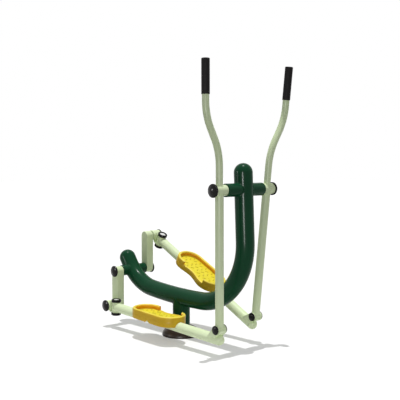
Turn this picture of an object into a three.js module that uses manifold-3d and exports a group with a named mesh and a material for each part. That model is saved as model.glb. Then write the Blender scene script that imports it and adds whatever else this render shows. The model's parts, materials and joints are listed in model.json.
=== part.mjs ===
// Outdoor air walker of the crank-driven kind: two swinging levers, two foot bars, one crankshaft,
// all carried by one bent main tube on a single post.
// Millimetres. +X is forward, towards the handles. +Y is the user's left. +Z is up.
// The origin is on the ground, on the axis of the post.

import * as THREE from 'three';
import { mergeVertices } from 'three/addons/utils/BufferGeometryUtils.js';
import Module from 'manifold-3d';

const wasm = await Module();
wasm.setup();

// Gaps
const seatGap = 0.3; // between pieces that are welded, pressed or rest on each other
const runGap = 0.3; // between a turning piece and its shaft
const cutOverrun = 6; // how far a cutter runs past the face that it cuts

// Main tube, from its front top end down, along the ground and up again at the rear
const mainTubeDiameter = 108;
const mainTubeWall = 4;
const frontAxleForward = 538;
const frontAxleHeight = 924;
const bowHeight = 239.5; // of the centreline above the post's foot
const uprightLeanDegrees = 2.5;
const uprightAboveAxle = 97;
const frontBendRadius = 372;
const frontBendDegrees = 91.2;
const bottomBowRadius = 3900;
const bottomBowDegrees = 7.03;
const rearBendRadius = 331.4;
const rearBendDegrees = 48.5;
const rearStraight = 47;
const rearAxleFromEnd = 94; // along the centreline

// Post and its fixing to the ground
const postDiameter = 108;
const postWall = 4;
const flangeDiameter = 200;
const flangeThickness = 12;
const anchorCircleRadius = 78;
const anchorHoleDiameter = 18;
const anchorBoltDiameter = 16;
const anchorHeadAcrossCorners = 27.7;
const anchorHeadHeight = 10;
const coverDiameter = 240;
const coverFullHeight = 70; // of the whole dome, before the post cuts it
const coverWall = 3;

// Front cross tube and the shaft that the levers swing on
const crossTubeDiameter = 76;
const crossTubeWall = 4;
const crossTubeEndPlate = 8;
const crossTubeHalfLength = 146.6;
const axleDiameter = 25;

// Rear bearing tube and crankset
const rearTubeDiameter = 69;
const rearTubeHalfLength = 95;
const rearBearingWidth = 15;
const crankRadius = 218.7;
const crankArmWidth = 61;
const crankArmThickness = 54;
const crankArmWall = 5;
const crankArmSideGap = 2;

// Levers
const bearingBore = 52; // inside diameter of the hubs and of the rear tube
const hubDiameter = 62;
const hubLength = 88;
const hubSideGap = 1.2;
const hubBushInset = 1;
const leverLength = 768.6; // from the hub's axis to the lower pivot's axis
const leverTubeDiameter = 48;
const leverTubeWall = 3;
const handleTubeDiameter = 40;
const handleTubeWall = 3;
const handleBendStart = 135; // above the hub's axis
const handleBendRadius = 320;
const handleBendDegrees = 28;
const handleOutwardShift = 102;
const gripDiameter = 46;
const gripLength = 192;
const gripBottomHeight = 519; // above the hub's axis
const gripEndWall = 5;
const gripEndRounding = 4;

// Lower pivot between a lever and its foot bar
const eyeDiameter = 50;
const eyeWidth = 49;
const eyeSideGap = 0.5;
const eyeCradleGap = 0.7;
const pivotPinDiameter = 20;
const earThickness = 6;
const earRadius = 24;
const cradleWall = 3;
const clevisRearFoot = 66; // behind the pivot's axis
const clevisFrontFoot = -4; // ahead of the pivot's axis where positive
const clevisFootHeight = 14; // above the foot bar's axis

// Foot bars, measured along the bar from the crank pin
const footBarDiameter = 60;
const footBarWall = 3;
const footBarReach = 1035;
const pedalBoltHoleDiameter = 9;
const pedalBoltInset = 110; // from the pedal's heel and from its toe

// Swivel joint behind each foot bar
const knuckleSideGap = 5; // from the crank arm, so that the opened crank pin joint stays clear
const knuckleSleeveDiameter = 66;
const knuckleSleeveLength = 66;
const knuckleNeck = 9; // from the sleeve to the front of the cheek
const swivelSleeveDiameter = 54;
const swivelSleeveHeight = 56;
const swivelGap = 2;
const swivelPinDiameter = 20;
const swivelLugThickness = 6;
const cheekThickness = 18;
const cheekHalfWidth = 20;

// Pedals, measured along the foot bar, sideways from it and above its axis
const pedalHeelPlace = 303;
const pedalLength = 401;
const pedalHeelRadius = 90;
const pedalToeRadius = 95;
const pedalWaistDepth = 17;
const pedalSkirtBottom = 2;
const pedalRimTop = 63;
const pedalRimWidth = 13;
const pedalSkirtWall = 6;
const pedalTreadThickness = 5;
const pedalLipHeight = 2;
const pedalRimGapStart = 115; // from the heel, where the inner rim stops
const pedalRimGapEnd = 325; // from the heel, where the inner rim starts again
const pedalNotchPlace = 204;
const pedalNotchWidth = 38;
const pedalNotchHeight = 16;
const pedalBarClearance = 0.2;

// Domed caps: diameter, straight rim and dome height
const hubCap = { diameter: 77, rim: 8, dome: 9 };
const axleCap = { diameter: 73, rim: 6, dome: 8 };
const pivotCap = { diameter: 51, rim: 4, dome: 6 };
const swivelCap = { diameter: 64, rim: 9, dome: 8.5 };

// Facets
const mainTubeSides = 24;
const mainTubeBoreSides = 12;
const mainTubeSteps = 32;
const handleSides = 16;
const handleBoreSides = 8;
const handleSteps = 16;
const roundSides = 20;
const boreSides = 12;
const capSides = 16;
const wideSides = 32;
const domeSteps = 4;
const innerDomeSteps = 2;
const armEndSteps = 10;
const soleArcSteps = 12;
const soleWaistSteps = 8;
const solveSteps = 40;

// Looks
const greenPaint = { color: 0x0d4a2b, roughness: 0.22, metalness: 0.0 };
const palePaint = { color: 0xdce9c4, roughness: 0.35, metalness: 0.0 };
const blackPlastic = { color: 0x0d0d0d, roughness: 0.18, metalness: 0.0 };
const gripRubber = { color: 0x1b1b1c, roughness: 0.75, metalness: 0.0 };
const yellowPlastic = { color: 0xf0b81c, roughness: 0.42, metalness: 0.0 };
const brownPlastic = { color: 0x2e2622, roughness: 0.35, metalness: 0.0 };
const bareSteel = { color: 0x9a9c9e, roughness: 0.35, metalness: 0.9 };
const bushPlastic = { color: 0x4a4c4e, roughness: 0.6, metalness: 0.0 };

const radians = THREE.MathUtils.degToRad;

// Geometry helpers

// A plane path of straight and bent stretches: each has a length, or a radius with a turn in degrees
class BentPath extends THREE.Curve {
  constructor(start, headingDegrees, stretches, place) {
    super();
    this.place = place;
    this.legs = [];
    let at = { along: start[0], across: start[1], heading: radians(headingDegrees) };
    this.total = 0;
    for (const stretch of stretches) {
      const turn = radians(stretch.turnDegrees ?? 0);
      const length = stretch.length ?? stretch.radius * Math.abs(turn);
      this.legs.push({ from: at, length, curvature: turn / length, starts: this.total });
      at = BentPath.step(at, length, turn / length);
      this.total += length;
    }
    this.end = at;
  }

  static step(from, distance, curvature) {
    const heading = from.heading + curvature * distance;
    if (curvature === 0) {
      return {
        along: from.along + Math.cos(heading) * distance,
        across: from.across + Math.sin(heading) * distance,
        heading,
      };
    }
    return {
      along: from.along + (Math.sin(heading) - Math.sin(from.heading)) / curvature,
      across: from.across - (Math.cos(heading) - Math.cos(from.heading)) / curvature,
      heading,
    };
  }

  atDistance(distance) {
    let leg = this.legs[0];
    for (const candidate of this.legs) {
      if (distance >= candidate.starts) leg = candidate;
    }
    return BentPath.step(leg.from, distance - leg.starts, leg.curvature);
  }

  getPoint(share, target = new THREE.Vector3()) {
    const at = this.atDistance(share * this.total);
    return target.copy(this.place(at.along, at.across));
  }
}

function signedVolume(geometry) {
  const places = geometry.getAttribute('position');
  const index = geometry.getIndex();
  const count = index ? index.count : places.count;
  const corners = [new THREE.Vector3(), new THREE.Vector3(), new THREE.Vector3()];
  let volume = 0;
  for (let first = 0; first < count; first += 3) {
    corners.forEach((corner, turn) => {
      corner.fromBufferAttribute(places, index ? index.getX(first + turn) : first + turn);
    });
    volume += corners[0].dot(corners[1].cross(corners[2]));
  }
  return volume;
}

// Merges shared corners and turns every face outwards
function closedGeometry(geometry) {
  const bare = geometry.clone();
  bare.deleteAttribute('normal');
  bare.deleteAttribute('uv');
  const merged = mergeVertices(bare);
  if (signedVolume(merged) < 0) merged.getIndex().array.reverse();
  return merged;
}

function toSolid(geometry) {
  const merged = closedGeometry(geometry);
  return new wasm.Manifold(new wasm.Mesh({
    numProp: 3,
    vertProperties: new Float32Array(merged.getAttribute('position').array),
    triVerts: new Uint32Array(merged.getIndex().array),
  }));
}

function toGeometry(solid) {
  const mesh = solid.getMesh();
  const geometry = new THREE.BufferGeometry();
  geometry.setAttribute('position', new THREE.BufferAttribute(new Float32Array(mesh.vertProperties), 3));
  geometry.setIndex(new THREE.BufferAttribute(new Uint32Array(mesh.triVerts), 1));
  return geometry;
}

function circlePoints(radius, sides, [along, across] = [0, 0]) {
  return Array.from({ length: sides }, (unused, turn) => {
    const angle = (turn / sides) * 2 * Math.PI;
    return new THREE.Vector2(along + radius * Math.cos(angle), across + radius * Math.sin(angle));
  });
}

function tubeAlong(path, diameter, wall, sides, innerSides, steps) {
  const section = new THREE.Shape(circlePoints(diameter / 2, sides));
  if (wall > 0) section.holes.push(new THREE.Path(circlePoints(diameter / 2 - wall, innerSides)));
  return new THREE.ExtrudeGeometry(section, { steps, bevelEnabled: false, extrudePath: path });
}

// A body of revolution about its own Y axis. Each point is a radius and a place along the axis.
function turned(profile, sides = roundSides) {
  return new THREE.LatheGeometry(profile.map(([radius, along]) => new THREE.Vector2(radius, along)), sides);
}

function ring(outerDiameter, innerDiameter, length, sides = roundSides) {
  const half = length / 2;
  const outer = outerDiameter / 2;
  const inner = innerDiameter / 2;
  return turned([[inner, -half], [outer, -half], [outer, half], [inner, half], [inner, -half]], sides);
}

function rod(diameter, length, sides = roundSides) {
  return new THREE.CylinderGeometry(diameter / 2, diameter / 2, length, sides);
}

// A cutter with its flats, not its corners, on the given diameter, so that what fits inside stays clear
function borer(diameter, length, sides = roundSides) {
  return rod(diameter / Math.cos(Math.PI / sides), length, sides);
}

// A quarter of an ellipse, from its full radius up to its tip on the axis
function domeProfile(radius, height, base, steps) {
  return Array.from({ length: steps + 1 }, (unused, step) => {
    const angle = (step / steps) * (Math.PI / 2);
    return [step === steps ? 0 : radius * Math.cos(angle), base + height * Math.sin(angle)];
  });
}

// A domed cap that stands on its flat face at zero and rises along its own Y axis
function domedCap({ diameter, rim, dome }) {
  const radius = diameter / 2;
  return turned([[0, 0], [radius, 0], ...domeProfile(radius, dome, rim, domeSteps)], capSides);
}

// A flat outline drawn in X and Z, given its thickness across Y, half to each side
function plateAcross(shape, thickness, curveSegments = boreSides) {
  const geometry = new THREE.ExtrudeGeometry(shape, { depth: thickness, bevelEnabled: false, curveSegments });
  geometry.translate(0, 0, -thickness / 2);
  geometry.rotateX(Math.PI / 2);
  return geometry;
}

function block(low, high) {
  const size = high.map((value, axis) => value - low[axis]);
  const geometry = new THREE.BoxGeometry(...size);
  geometry.translate(...low.map((value, axis) => value + size[axis] / 2));
  return geometry;
}

function alongX(geometry) {
  return geometry.rotateZ(-Math.PI / 2);
}

function alongZ(geometry) {
  return geometry.rotateX(Math.PI / 2);
}

// A named piece in its own material, placed in the group that carries it
function addPiece(group, name, geometry, look, place = [0, 0, 0]) {
  const mesh = new THREE.Mesh(closedGeometry(geometry), new THREE.MeshStandardMaterial({
    ...look,
    flatShading: true,
  }));
  mesh.name = name;
  mesh.position.set(...place);
  group.add(mesh);
  return mesh;
}

function pointAlong(mesh, direction) {
  mesh.quaternion.setFromUnitVectors(new THREE.Vector3(0, 1, 0), direction);
}

// Places that the pieces share

const uprightHeading = uprightLeanDegrees - 90;
const frontTop = [
  frontAxleForward - uprightAboveAxle * Math.sin(radians(uprightLeanDegrees)),
  frontAxleHeight + uprightAboveAxle * Math.cos(radians(uprightLeanDegrees)),
];

function mainPathWith(uprightBelowAxle) {
  return new BentPath(frontTop, uprightHeading, [
    { length: uprightAboveAxle + uprightBelowAxle },
    { radius: frontBendRadius, turnDegrees: -frontBendDegrees },
    { radius: bottomBowRadius, turnDegrees: -bottomBowDegrees },
    { radius: rearBendRadius, turnDegrees: -rearBendDegrees },
    { length: rearStraight },
  ], (along, across) => new THREE.Vector3(along, 0, across));
}

// Height of a path's centreline where it passes over the post
function heightOverPost(path) {
  const bow = path.legs[2];
  let low = bow.starts;
  let high = path.total;
  for (let halving = 0; halving < solveSteps; halving += 1) {
    const middle = (low + high) / 2;
    if (path.atDistance(middle).along > 0) low = middle;
    else high = middle;
  }
  return path.atDistance(low).across;
}

// The upright is as long as it takes to bring the bow to its height
let uprightBelow = frontAxleHeight - bowHeight - frontBendRadius;
for (let round = 0; round < solveSteps; round += 1) {
  uprightBelow += heightOverPost(mainPathWith(uprightBelow)) - bowHeight;
}
const mainPath = mainPathWith(uprightBelow);

const rearAxlePlace = mainPath.atDistance(mainPath.total - rearAxleFromEnd);
const rearAxle = { x: rearAxlePlace.along, z: rearAxlePlace.across };

const leverPlane = crossTubeHalfLength + hubSideGap + hubLength / 2;
const crankArmInner = rearTubeHalfLength + crankArmSideGap;
const crankArmOuter = crankArmInner + crankArmThickness;
const knuckleInner = crankArmOuter + knuckleSideGap;
const pivotRise = footBarDiameter / 2 + seatGap + cradleWall + eyeCradleGap + eyeDiameter / 2;
const cheekFront = knuckleSleeveDiameter / 2 + knuckleNeck;
const swivelForward = cheekFront + swivelGap + swivelSleeveDiameter / 2;
const pedalToePlace = pedalHeelPlace + pedalLength;
const pedalBoltPlaces = [pedalHeelPlace + pedalBoltInset, pedalToePlace - pedalBoltInset];

// How a lever and its foot bar stand when the crank pin is straight below or above the rear axle
function restAngles(pinSign) {
  const pin = { x: rearAxle.x, z: rearAxle.z + pinSign * crankRadius };
  const barSpan = Math.hypot(footBarReach, pivotRise);
  const gapX = frontAxleForward - pin.x;
  const gapZ = frontAxleHeight - pin.z;
  const gap = Math.hypot(gapX, gapZ);
  const gapAngle = Math.atan2(gapZ, gapX);
  const cosine = (barSpan ** 2 + gap ** 2 - leverLength ** 2) / (2 * barSpan * gap);
  const spanAngle = gapAngle - Math.acos(THREE.MathUtils.clamp(cosine, -1, 1));
  const pivot = { x: pin.x + barSpan * Math.cos(spanAngle), z: pin.z + barSpan * Math.sin(spanAngle) };
  return {
    pin,
    barPitch: Math.atan2(pivotRise, footBarReach) - spanAngle,
    leverTurn: Math.atan2(frontAxleForward - pivot.x, frontAxleHeight - pivot.z),
  };
}

const walker = new THREE.Group();

// Frame

function addMainTube() {
  const steel = tubeAlong(
    mainPath,
    mainTubeDiameter,
    mainTubeWall,
    mainTubeSides,
    mainTubeBoreSides,
    mainTubeSteps,
  );
  let tube = toSolid(steel);
  const holes = [
    { x: frontAxleForward, z: frontAxleHeight, diameter: crossTubeDiameter },
    { x: rearAxle.x, z: rearAxle.z, diameter: rearTubeDiameter },
  ];
  for (const hole of holes) {
    const cutter = borer(hole.diameter + 2 * seatGap, mainTubeDiameter + 2 * cutOverrun);
    cutter.translate(hole.x, 0, hole.z);
    tube = tube.subtract(toSolid(cutter));
  }
  addPiece(walker, 'main_tube', toGeometry(tube), greenPaint);
}

function addMainTubeDome(name, point, direction) {
  const outer = mainTubeDiameter / 2;
  const inner = outer - mainTubeWall;
  const profile = [
    ...domeProfile(outer, outer, 0, domeSteps),
    ...domeProfile(inner, inner, 0, innerDomeSteps).reverse(),
    [outer, 0],
  ];
  const dome = addPiece(walker, name, turned(profile, mainTubeSides), greenPaint);
  dome.position.copy(point).addScaledVector(direction, seatGap);
  pointAlong(dome, direction);
}

function addPost() {
  const bottom = flangeThickness + seatGap;
  const length = bowHeight - bottom;
  const tube = alongZ(ring(postDiameter, postDiameter - 2 * postWall, length));
  tube.translate(0, 0, bottom + length / 2);
  const envelope = tubeAlong(mainPath, mainTubeDiameter + 2 * seatGap, 0, mainTubeSides, 0, mainTubeSteps);
  addPiece(walker, 'post', toGeometry(toSolid(tube).subtract(toSolid(envelope))), greenPaint);
}

function addGroundFixing() {
  const disc = alongZ(rod(flangeDiameter, flangeThickness, wideSides));
  disc.translate(0, 0, flangeThickness / 2);
  let flange = toSolid(disc);
  for (let turn = 0; turn < 4; turn += 1) {
    const angle = (turn + 0.5) * (Math.PI / 2);
    const x = anchorCircleRadius * Math.cos(angle);
    const y = anchorCircleRadius * Math.sin(angle);
    const hole = alongZ(borer(anchorHoleDiameter, flangeThickness + 2 * cutOverrun, boreSides));
    hole.translate(x, y, flangeThickness / 2);
    flange = flange.subtract(toSolid(hole));
    const head = alongZ(rod(anchorHeadAcrossCorners, anchorHeadHeight, 6));
    head.translate(0, 0, flangeThickness + seatGap + anchorHeadHeight / 2);
    const shankLength = flangeThickness + anchorHeadHeight / 2;
    const shank = alongZ(rod(anchorBoltDiameter, shankLength, boreSides));
    shank.translate(0, 0, seatGap + shankLength / 2);
    const bolt = toGeometry(toSolid(head).add(toSolid(shank)));
    addPiece(walker, `anchor_bolt_${turn + 1}`, bolt, bareSteel, [x, y, 0]);
  }
  addPiece(walker, 'base_flange', toGeometry(flange), greenPaint);
}

// A low dome of elliptic section, open at the bottom, that closes on the post
function addGroundCover() {
  const hole = postDiameter / 2 + 2 * seatGap;
  const layers = [
    { radius: coverDiameter / 2, height: coverFullHeight },
    { radius: coverDiameter / 2 - coverWall, height: coverFullHeight - coverWall },
  ];
  const rows = layers.map(({ radius, height }) => {
    const last = Math.acos(hole / radius);
    return Array.from({ length: domeSteps + 1 }, (unused, step) => {
      const angle = (step / domeSteps) * last;
      return [radius * Math.cos(angle), height * Math.sin(angle)];
    });
  });
  const profile = [...rows[0], ...rows[1].reverse(), rows[0][0]];
  addPiece(walker, 'ground_cover', alongZ(turned(profile, wideSides)), brownPlastic);
}

function addFrontShaft() {
  const outer = crossTubeDiameter / 2;
  const inner = outer - crossTubeWall;
  const bore = axleDiameter / 2 + seatGap;
  const end = crossTubeHalfLength;
  const plate = end - crossTubeEndPlate;
  const profile = [
    [bore, -end], [outer, -end], [outer, end], [bore, end],
    [bore, plate], [inner, plate], [inner, -plate], [bore, -plate], [bore, -end],
  ];
  const place = [frontAxleForward, 0, frontAxleHeight];
  addPiece(walker, 'front_cross_tube', turned(profile), greenPaint, place);
  const axleLength = 2 * (leverPlane + hubLength / 2 - hubBushInset);
  addPiece(walker, 'front_axle', rod(axleDiameter, axleLength), bareSteel, place);
}

function addRearBearings() {
  const tube = ring(rearTubeDiameter, bearingBore, 2 * rearTubeHalfLength);
  addPiece(walker, 'rear_bearing_tube', tube, greenPaint, [rearAxle.x, 0, rearAxle.z]);
  for (const side of [-1, 1]) {
    const name = side < 0 ? 'rear_bearing_right' : 'rear_bearing_left';
    const race = ring(bearingBore - 2 * seatGap, axleDiameter + 2 * runGap, rearBearingWidth);
    const middle = rearTubeHalfLength - rearBearingWidth / 2 - seatGap;
    addPiece(walker, name, race, bareSteel, [rearAxle.x, side * middle, rearAxle.z]);
  }
}

// Crankset

// The outline of a crank arm between its axle and its pin, with round ends
function crankArmOutline(pinSign, inset) {
  const radius = crankArmWidth / 2 - inset;
  const shape = new THREE.Shape();
  const low = pinSign < 0 ? -crankRadius : 0;
  const high = pinSign < 0 ? 0 : crankRadius;
  shape.absarc(0, high, radius, 0, Math.PI, false);
  shape.absarc(0, low, radius, Math.PI, 2 * Math.PI, false);
  shape.closePath();
  return shape;
}

function addCrankset() {
  const crankset = new THREE.Group();
  crankset.position.set(rearAxle.x, 0, rearAxle.z);
  walker.add(crankset);
  addPiece(crankset, 'crank_axle', rod(axleDiameter, 2 * (crankArmOuter - seatGap)), bareSteel);
  for (const side of [-1, 1]) {
    const name = side < 0 ? 'right' : 'left';
    const pinSign = side;
    let arm = toSolid(plateAcross(crankArmOutline(pinSign, 0), crankArmThickness, armEndSteps));
    const hollowThickness = crankArmThickness - 2 * crankArmWall;
    const hollow = plateAcross(crankArmOutline(pinSign, crankArmWall), hollowThickness, armEndSteps);
    arm = arm.subtract(toSolid(hollow));
    for (const height of [0, pinSign * crankRadius]) {
      const bore = borer(axleDiameter + 2 * seatGap, crankArmThickness + 2 * cutOverrun, boreSides);
      bore.translate(0, 0, height);
      arm = arm.subtract(toSolid(bore));
    }
    const middle = side * (crankArmInner + crankArmThickness / 2);
    addPiece(crankset, `${name}_crank_arm`, toGeometry(arm), palePaint, [0, middle, 0]);
    const cap = domedCap(axleCap);
    if (side < 0) cap.rotateX(Math.PI);
    addPiece(crankset, `${name}_crank_axle_cap`, cap, blackPlastic, [0, side * (crankArmOuter + seatGap), 0]);
  }
}

// Levers

function leverTube(topDiameter, bottomDiameter) {
  const tube = ring(leverTubeDiameter, leverTubeDiameter - 2 * leverTubeWall, leverLength, roundSides);
  alongZ(tube).translate(0, 0, -leverLength / 2);
  const ends = [
    { height: 0, diameter: topDiameter },
    { height: -leverLength, diameter: bottomDiameter },
  ];
  return ends.reduce((solid, end) => {
    const cutter = borer(end.diameter + 2 * seatGap, leverTubeDiameter + 2 * cutOverrun, wideSides);
    cutter.translate(0, 0, end.height);
    return solid.subtract(toSolid(cutter));
  }, toSolid(tube));
}

// The upper tube of a lever bends outwards and straightens again under the grip
function handlePath(side) {
  const bendShift = 2 * handleBendRadius * (1 - Math.cos(radians(handleBendDegrees)));
  const slope = (handleOutwardShift - bendShift) / Math.sin(radians(handleBendDegrees));
  const bendRise = 2 * handleBendRadius * Math.sin(radians(handleBendDegrees));
  const bentTop = handleBendStart + bendRise + slope * Math.cos(radians(handleBendDegrees));
  const tubeTop = gripBottomHeight + gripLength - gripEndWall - seatGap;
  return new BentPath([0, 0], 90, [
    { length: handleBendStart },
    { radius: handleBendRadius, turnDegrees: -handleBendDegrees },
    { length: slope },
    { radius: handleBendRadius, turnDegrees: handleBendDegrees },
    { length: tubeTop - bentTop },
  ], (along, across) => new THREE.Vector3(0, side * along, across));
}

function gripGeometry() {
  const bore = handleTubeDiameter / 2 + seatGap;
  const outer = gripDiameter / 2;
  const shoulder = gripEndRounding / 2;
  return turned([
    [0, gripLength - gripEndWall], [bore, gripLength - gripEndWall], [bore, 0],
    [outer - shoulder, 0], [outer, shoulder],
    [outer, gripLength - gripEndRounding], [outer - shoulder, gripLength - shoulder],
    [outer - gripEndRounding, gripLength], [0, gripLength],
  ]);
}

function addLever(side, name, turn) {
  const lever = new THREE.Group();
  lever.position.set(frontAxleForward, side * leverPlane, frontAxleHeight);
  lever.rotation.y = turn;
  walker.add(lever);
  addPiece(lever, `${name}_lever_hub`, ring(hubDiameter, bearingBore, hubLength), palePaint);
  const bushLength = hubLength - 2 * hubBushInset;
  const bush = ring(bearingBore - 2 * seatGap, axleDiameter + 2 * runGap, bushLength);
  addPiece(lever, `${name}_hub_bush`, bush, bushPlastic);
  const cap = domedCap(hubCap);
  if (side < 0) cap.rotateX(Math.PI);
  addPiece(lever, `${name}_hub_cap`, cap, blackPlastic, [0, side * (hubLength / 2 + seatGap), 0]);
  addPiece(lever, `${name}_lever_tube`, toGeometry(leverTube(hubDiameter, eyeDiameter)), palePaint);
  const handle = tubeAlong(
    handlePath(side),
    handleTubeDiameter,
    handleTubeWall,
    handleSides,
    handleBoreSides,
    handleSteps,
  );
  const hubCutter = borer(hubDiameter + 2 * seatGap, handleTubeDiameter + 2 * cutOverrun, wideSides);
  const handleSolid = toSolid(handle).subtract(toSolid(hubCutter));
  addPiece(lever, `${name}_handle_tube`, toGeometry(handleSolid), palePaint);
  const gripPlace = [0, side * handleOutwardShift, gripBottomHeight];
  addPiece(lever, `${name}_grip`, alongZ(gripGeometry()), gripRubber, gripPlace);
  const eye = ring(eyeDiameter, pivotPinDiameter + 2 * runGap, eyeWidth);
  addPiece(lever, `${name}_lever_eye`, eye, palePaint, [0, 0, -leverLength]);
}

// Foot bars. Local X runs along the bar from the crank pin, local Z is square to it.

function footBar() {
  const outer = footBarDiameter / 2;
  const inner = outer - footBarWall;
  const start = swivelForward + swivelSleeveDiameter / 4;
  const profile = [
    [outer, start],
    ...domeProfile(outer, outer, footBarReach, domeSteps),
    [0, footBarReach],
    [inner, footBarReach],
    [inner, start],
    [outer, start],
  ];
  const sleeve = alongZ(rod(swivelSleeveDiameter, swivelSleeveHeight));
  sleeve.translate(swivelForward, 0, 0);
  const bore = alongZ(borer(swivelPinDiameter + 2 * runGap, swivelSleeveHeight + 2 * cutOverrun, boreSides));
  bore.translate(swivelForward, 0, 0);
  let bar = toSolid(alongX(turned(profile))).add(toSolid(sleeve)).subtract(toSolid(bore));
  // Room for the round ends of the lugs, above and below the sleeve
  const lugHeight = swivelLugThickness + cutOverrun;
  for (const up of [-1, 1]) {
    const room = alongZ(borer(swivelSleeveDiameter + 2 * swivelGap, lugHeight));
    room.translate(swivelForward, 0, up * (swivelSleeveHeight / 2 + lugHeight / 2));
    bar = bar.subtract(toSolid(room));
  }
  for (const place of pedalBoltPlaces) {
    const hole = alongZ(borer(pedalBoltHoleDiameter, footBarDiameter + 2 * cutOverrun, boreSides));
    hole.translate(place, 0, 0);
    bar = bar.subtract(toSolid(hole));
  }
  return bar;
}

// A clevis's side view: a round top about the pivot, with straight edges that run down to the feet
function clevisOutline(radius) {
  const feet = [-clevisRearFoot, clevisFrontFoot];
  const outline = new THREE.Shape();
  // The straight edges leave the round top as tangents
  const tangentAngle = (foot, sign) => {
    const drop = pivotRise - clevisFootHeight;
    const reach = Math.hypot(foot, drop);
    const towards = Math.atan2(-drop, foot);
    const opening = Math.acos(Math.min(1, radius / reach));
    return towards + sign * opening;
  };
  const frontAngle = tangentAngle(feet[1], 1);
  const rearAngle = tangentAngle(feet[0], -1) + 2 * Math.PI;
  outline.moveTo(feet[0], clevisFootHeight);
  outline.lineTo(feet[1], clevisFootHeight);
  outline.absarc(0, pivotRise, radius, frontAngle, rearAngle, false);
  outline.closePath();
  return outline;
}

// Two ears on the sides of the foot bar, joined by a cradle that curves under the lever's eye
function clevis() {
  const ringRadius = eyeDiameter / 2 + eyeCradleGap + cradleWall;
  const halfSlot = eyeWidth / 2 + eyeSideGap;
  const width = 2 * (halfSlot + earThickness);
  const ears = toSolid(plateAcross(clevisOutline(earRadius), width));
  let solid = ears.add(toSolid(plateAcross(clevisOutline(ringRadius), 2 * halfSlot)));
  // The slot for the eye and the lever, open above and to the rear
  const eyeRoom = borer(eyeDiameter + 2 * eyeCradleGap, 2 * halfSlot);
  eyeRoom.translate(0, 0, pivotRise);
  const openTop = block(
    [-ringRadius - cutOverrun, -halfSlot, pivotRise],
    [ringRadius + cutOverrun, halfSlot, pivotRise + ringRadius + cutOverrun],
  );
  const openRear = block(
    [-clevisRearFoot - cutOverrun, -halfSlot, 0],
    [-eyeDiameter / 4, halfSlot, pivotRise + ringRadius + cutOverrun],
  );
  const bar = alongX(borer(footBarDiameter + 2 * seatGap, 2 * (clevisRearFoot + footBarDiameter)));
  const bore = borer(pivotPinDiameter + 2 * seatGap, width + 2 * cutOverrun, boreSides);
  bore.translate(0, 0, pivotRise);
  for (const cutter of [eyeRoom, openTop, openRear, bar, bore]) solid = solid.subtract(toSolid(cutter));
  return solid;
}

// The sole's outline, set in from the edge by the given inset. Outward is the side away from the frame.
function soleOutline(side, inset) {
  const heelRadius = pedalHeelRadius - inset;
  const toeRadius = pedalToeRadius - inset;
  const heelCentre = pedalHeelPlace + pedalHeelRadius;
  const toeCentre = pedalToePlace - pedalToeRadius;
  const points = [];
  const arc = (centre, radius, from) => {
    for (let step = 0; step <= soleArcSteps; step += 1) {
      const angle = from + (step / soleArcSteps) * Math.PI;
      points.push(new THREE.Vector2(centre + radius * Math.cos(angle), side * radius * Math.sin(angle)));
    }
  };
  arc(heelCentre, heelRadius, Math.PI / 2);
  for (let step = 1; step < soleWaistSteps; step += 1) {
    const share = step / soleWaistSteps;
    const halfWidth = heelRadius + (toeRadius - heelRadius) * share;
    const waist = pedalWaistDepth * (1 - Math.cos(2 * Math.PI * share)) / 2;
    const along = heelCentre + (toeCentre - heelCentre) * share;
    points.push(new THREE.Vector2(along, -side * (halfWidth - waist)));
  }
  arc(toeCentre, toeRadius, -Math.PI / 2);
  return new THREE.Shape(points);
}

function pedalLayer(side, inset, low, high) {
  const settings = { depth: high - low, bevelEnabled: false };
  const layer = new THREE.ExtrudeGeometry(soleOutline(side, inset), settings);
  layer.translate(0, 0, low);
  return toSolid(layer);
}

function pedal(side) {
  const treadBottom = footBarDiameter / 2 + seatGap;
  const treadTop = treadBottom + pedalTreadThickness;
  const farTop = pedalRimTop + cutOverrun;
  let body = pedalLayer(side, 0, pedalSkirtBottom, pedalRimTop);
  body = body.subtract(pedalLayer(side, pedalRimWidth, treadTop, farTop));
  body = body.subtract(pedalLayer(side, pedalSkirtWall, pedalSkirtBottom - cutOverrun, treadBottom));
  // The inner rim is left low between the heel and the toe
  const inner = [-side * (pedalToeRadius + cutOverrun), -side * pedalWaistDepth].sort((a, b) => a - b);
  body = body.subtract(toSolid(block(
    [pedalHeelPlace + pedalRimGapStart, inner[0], treadTop + pedalLipHeight],
    [pedalHeelPlace + pedalRimGapEnd, inner[1], farTop],
  )));
  // The foot bar passes through the skirt at heel and toe
  const barRoomDiameter = footBarDiameter + 2 * (seatGap + pedalBarClearance);
  const barRoom = alongX(borer(barRoomDiameter, pedalLength + 2 * cutOverrun));
  barRoom.translate(pedalHeelPlace + pedalLength / 2, 0, 0);
  body = body.subtract(toSolid(barRoom));
  const notch = new THREE.Shape([
    new THREE.Vector2(-pedalNotchWidth / 2, pedalSkirtBottom - cutOverrun),
    new THREE.Vector2(pedalNotchWidth / 2, pedalSkirtBottom - cutOverrun),
    new THREE.Vector2(pedalNotchWidth / 2, pedalSkirtBottom),
    new THREE.Vector2(0, pedalSkirtBottom + pedalNotchHeight),
    new THREE.Vector2(-pedalNotchWidth / 2, pedalSkirtBottom),
  ]);
  const notchCutter = plateAcross(notch, pedalToeRadius);
  notchCutter.translate(pedalHeelPlace + pedalNotchPlace, side * pedalToeRadius, 0);
  body = body.subtract(toSolid(notchCutter));
  for (const place of pedalBoltPlaces) {
    const hole = alongZ(borer(pedalBoltHoleDiameter, pedalTreadThickness + 2 * cutOverrun, boreSides));
    hole.translate(place, 0, treadBottom);
    body = body.subtract(toSolid(hole));
  }
  return body;
}

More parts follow.
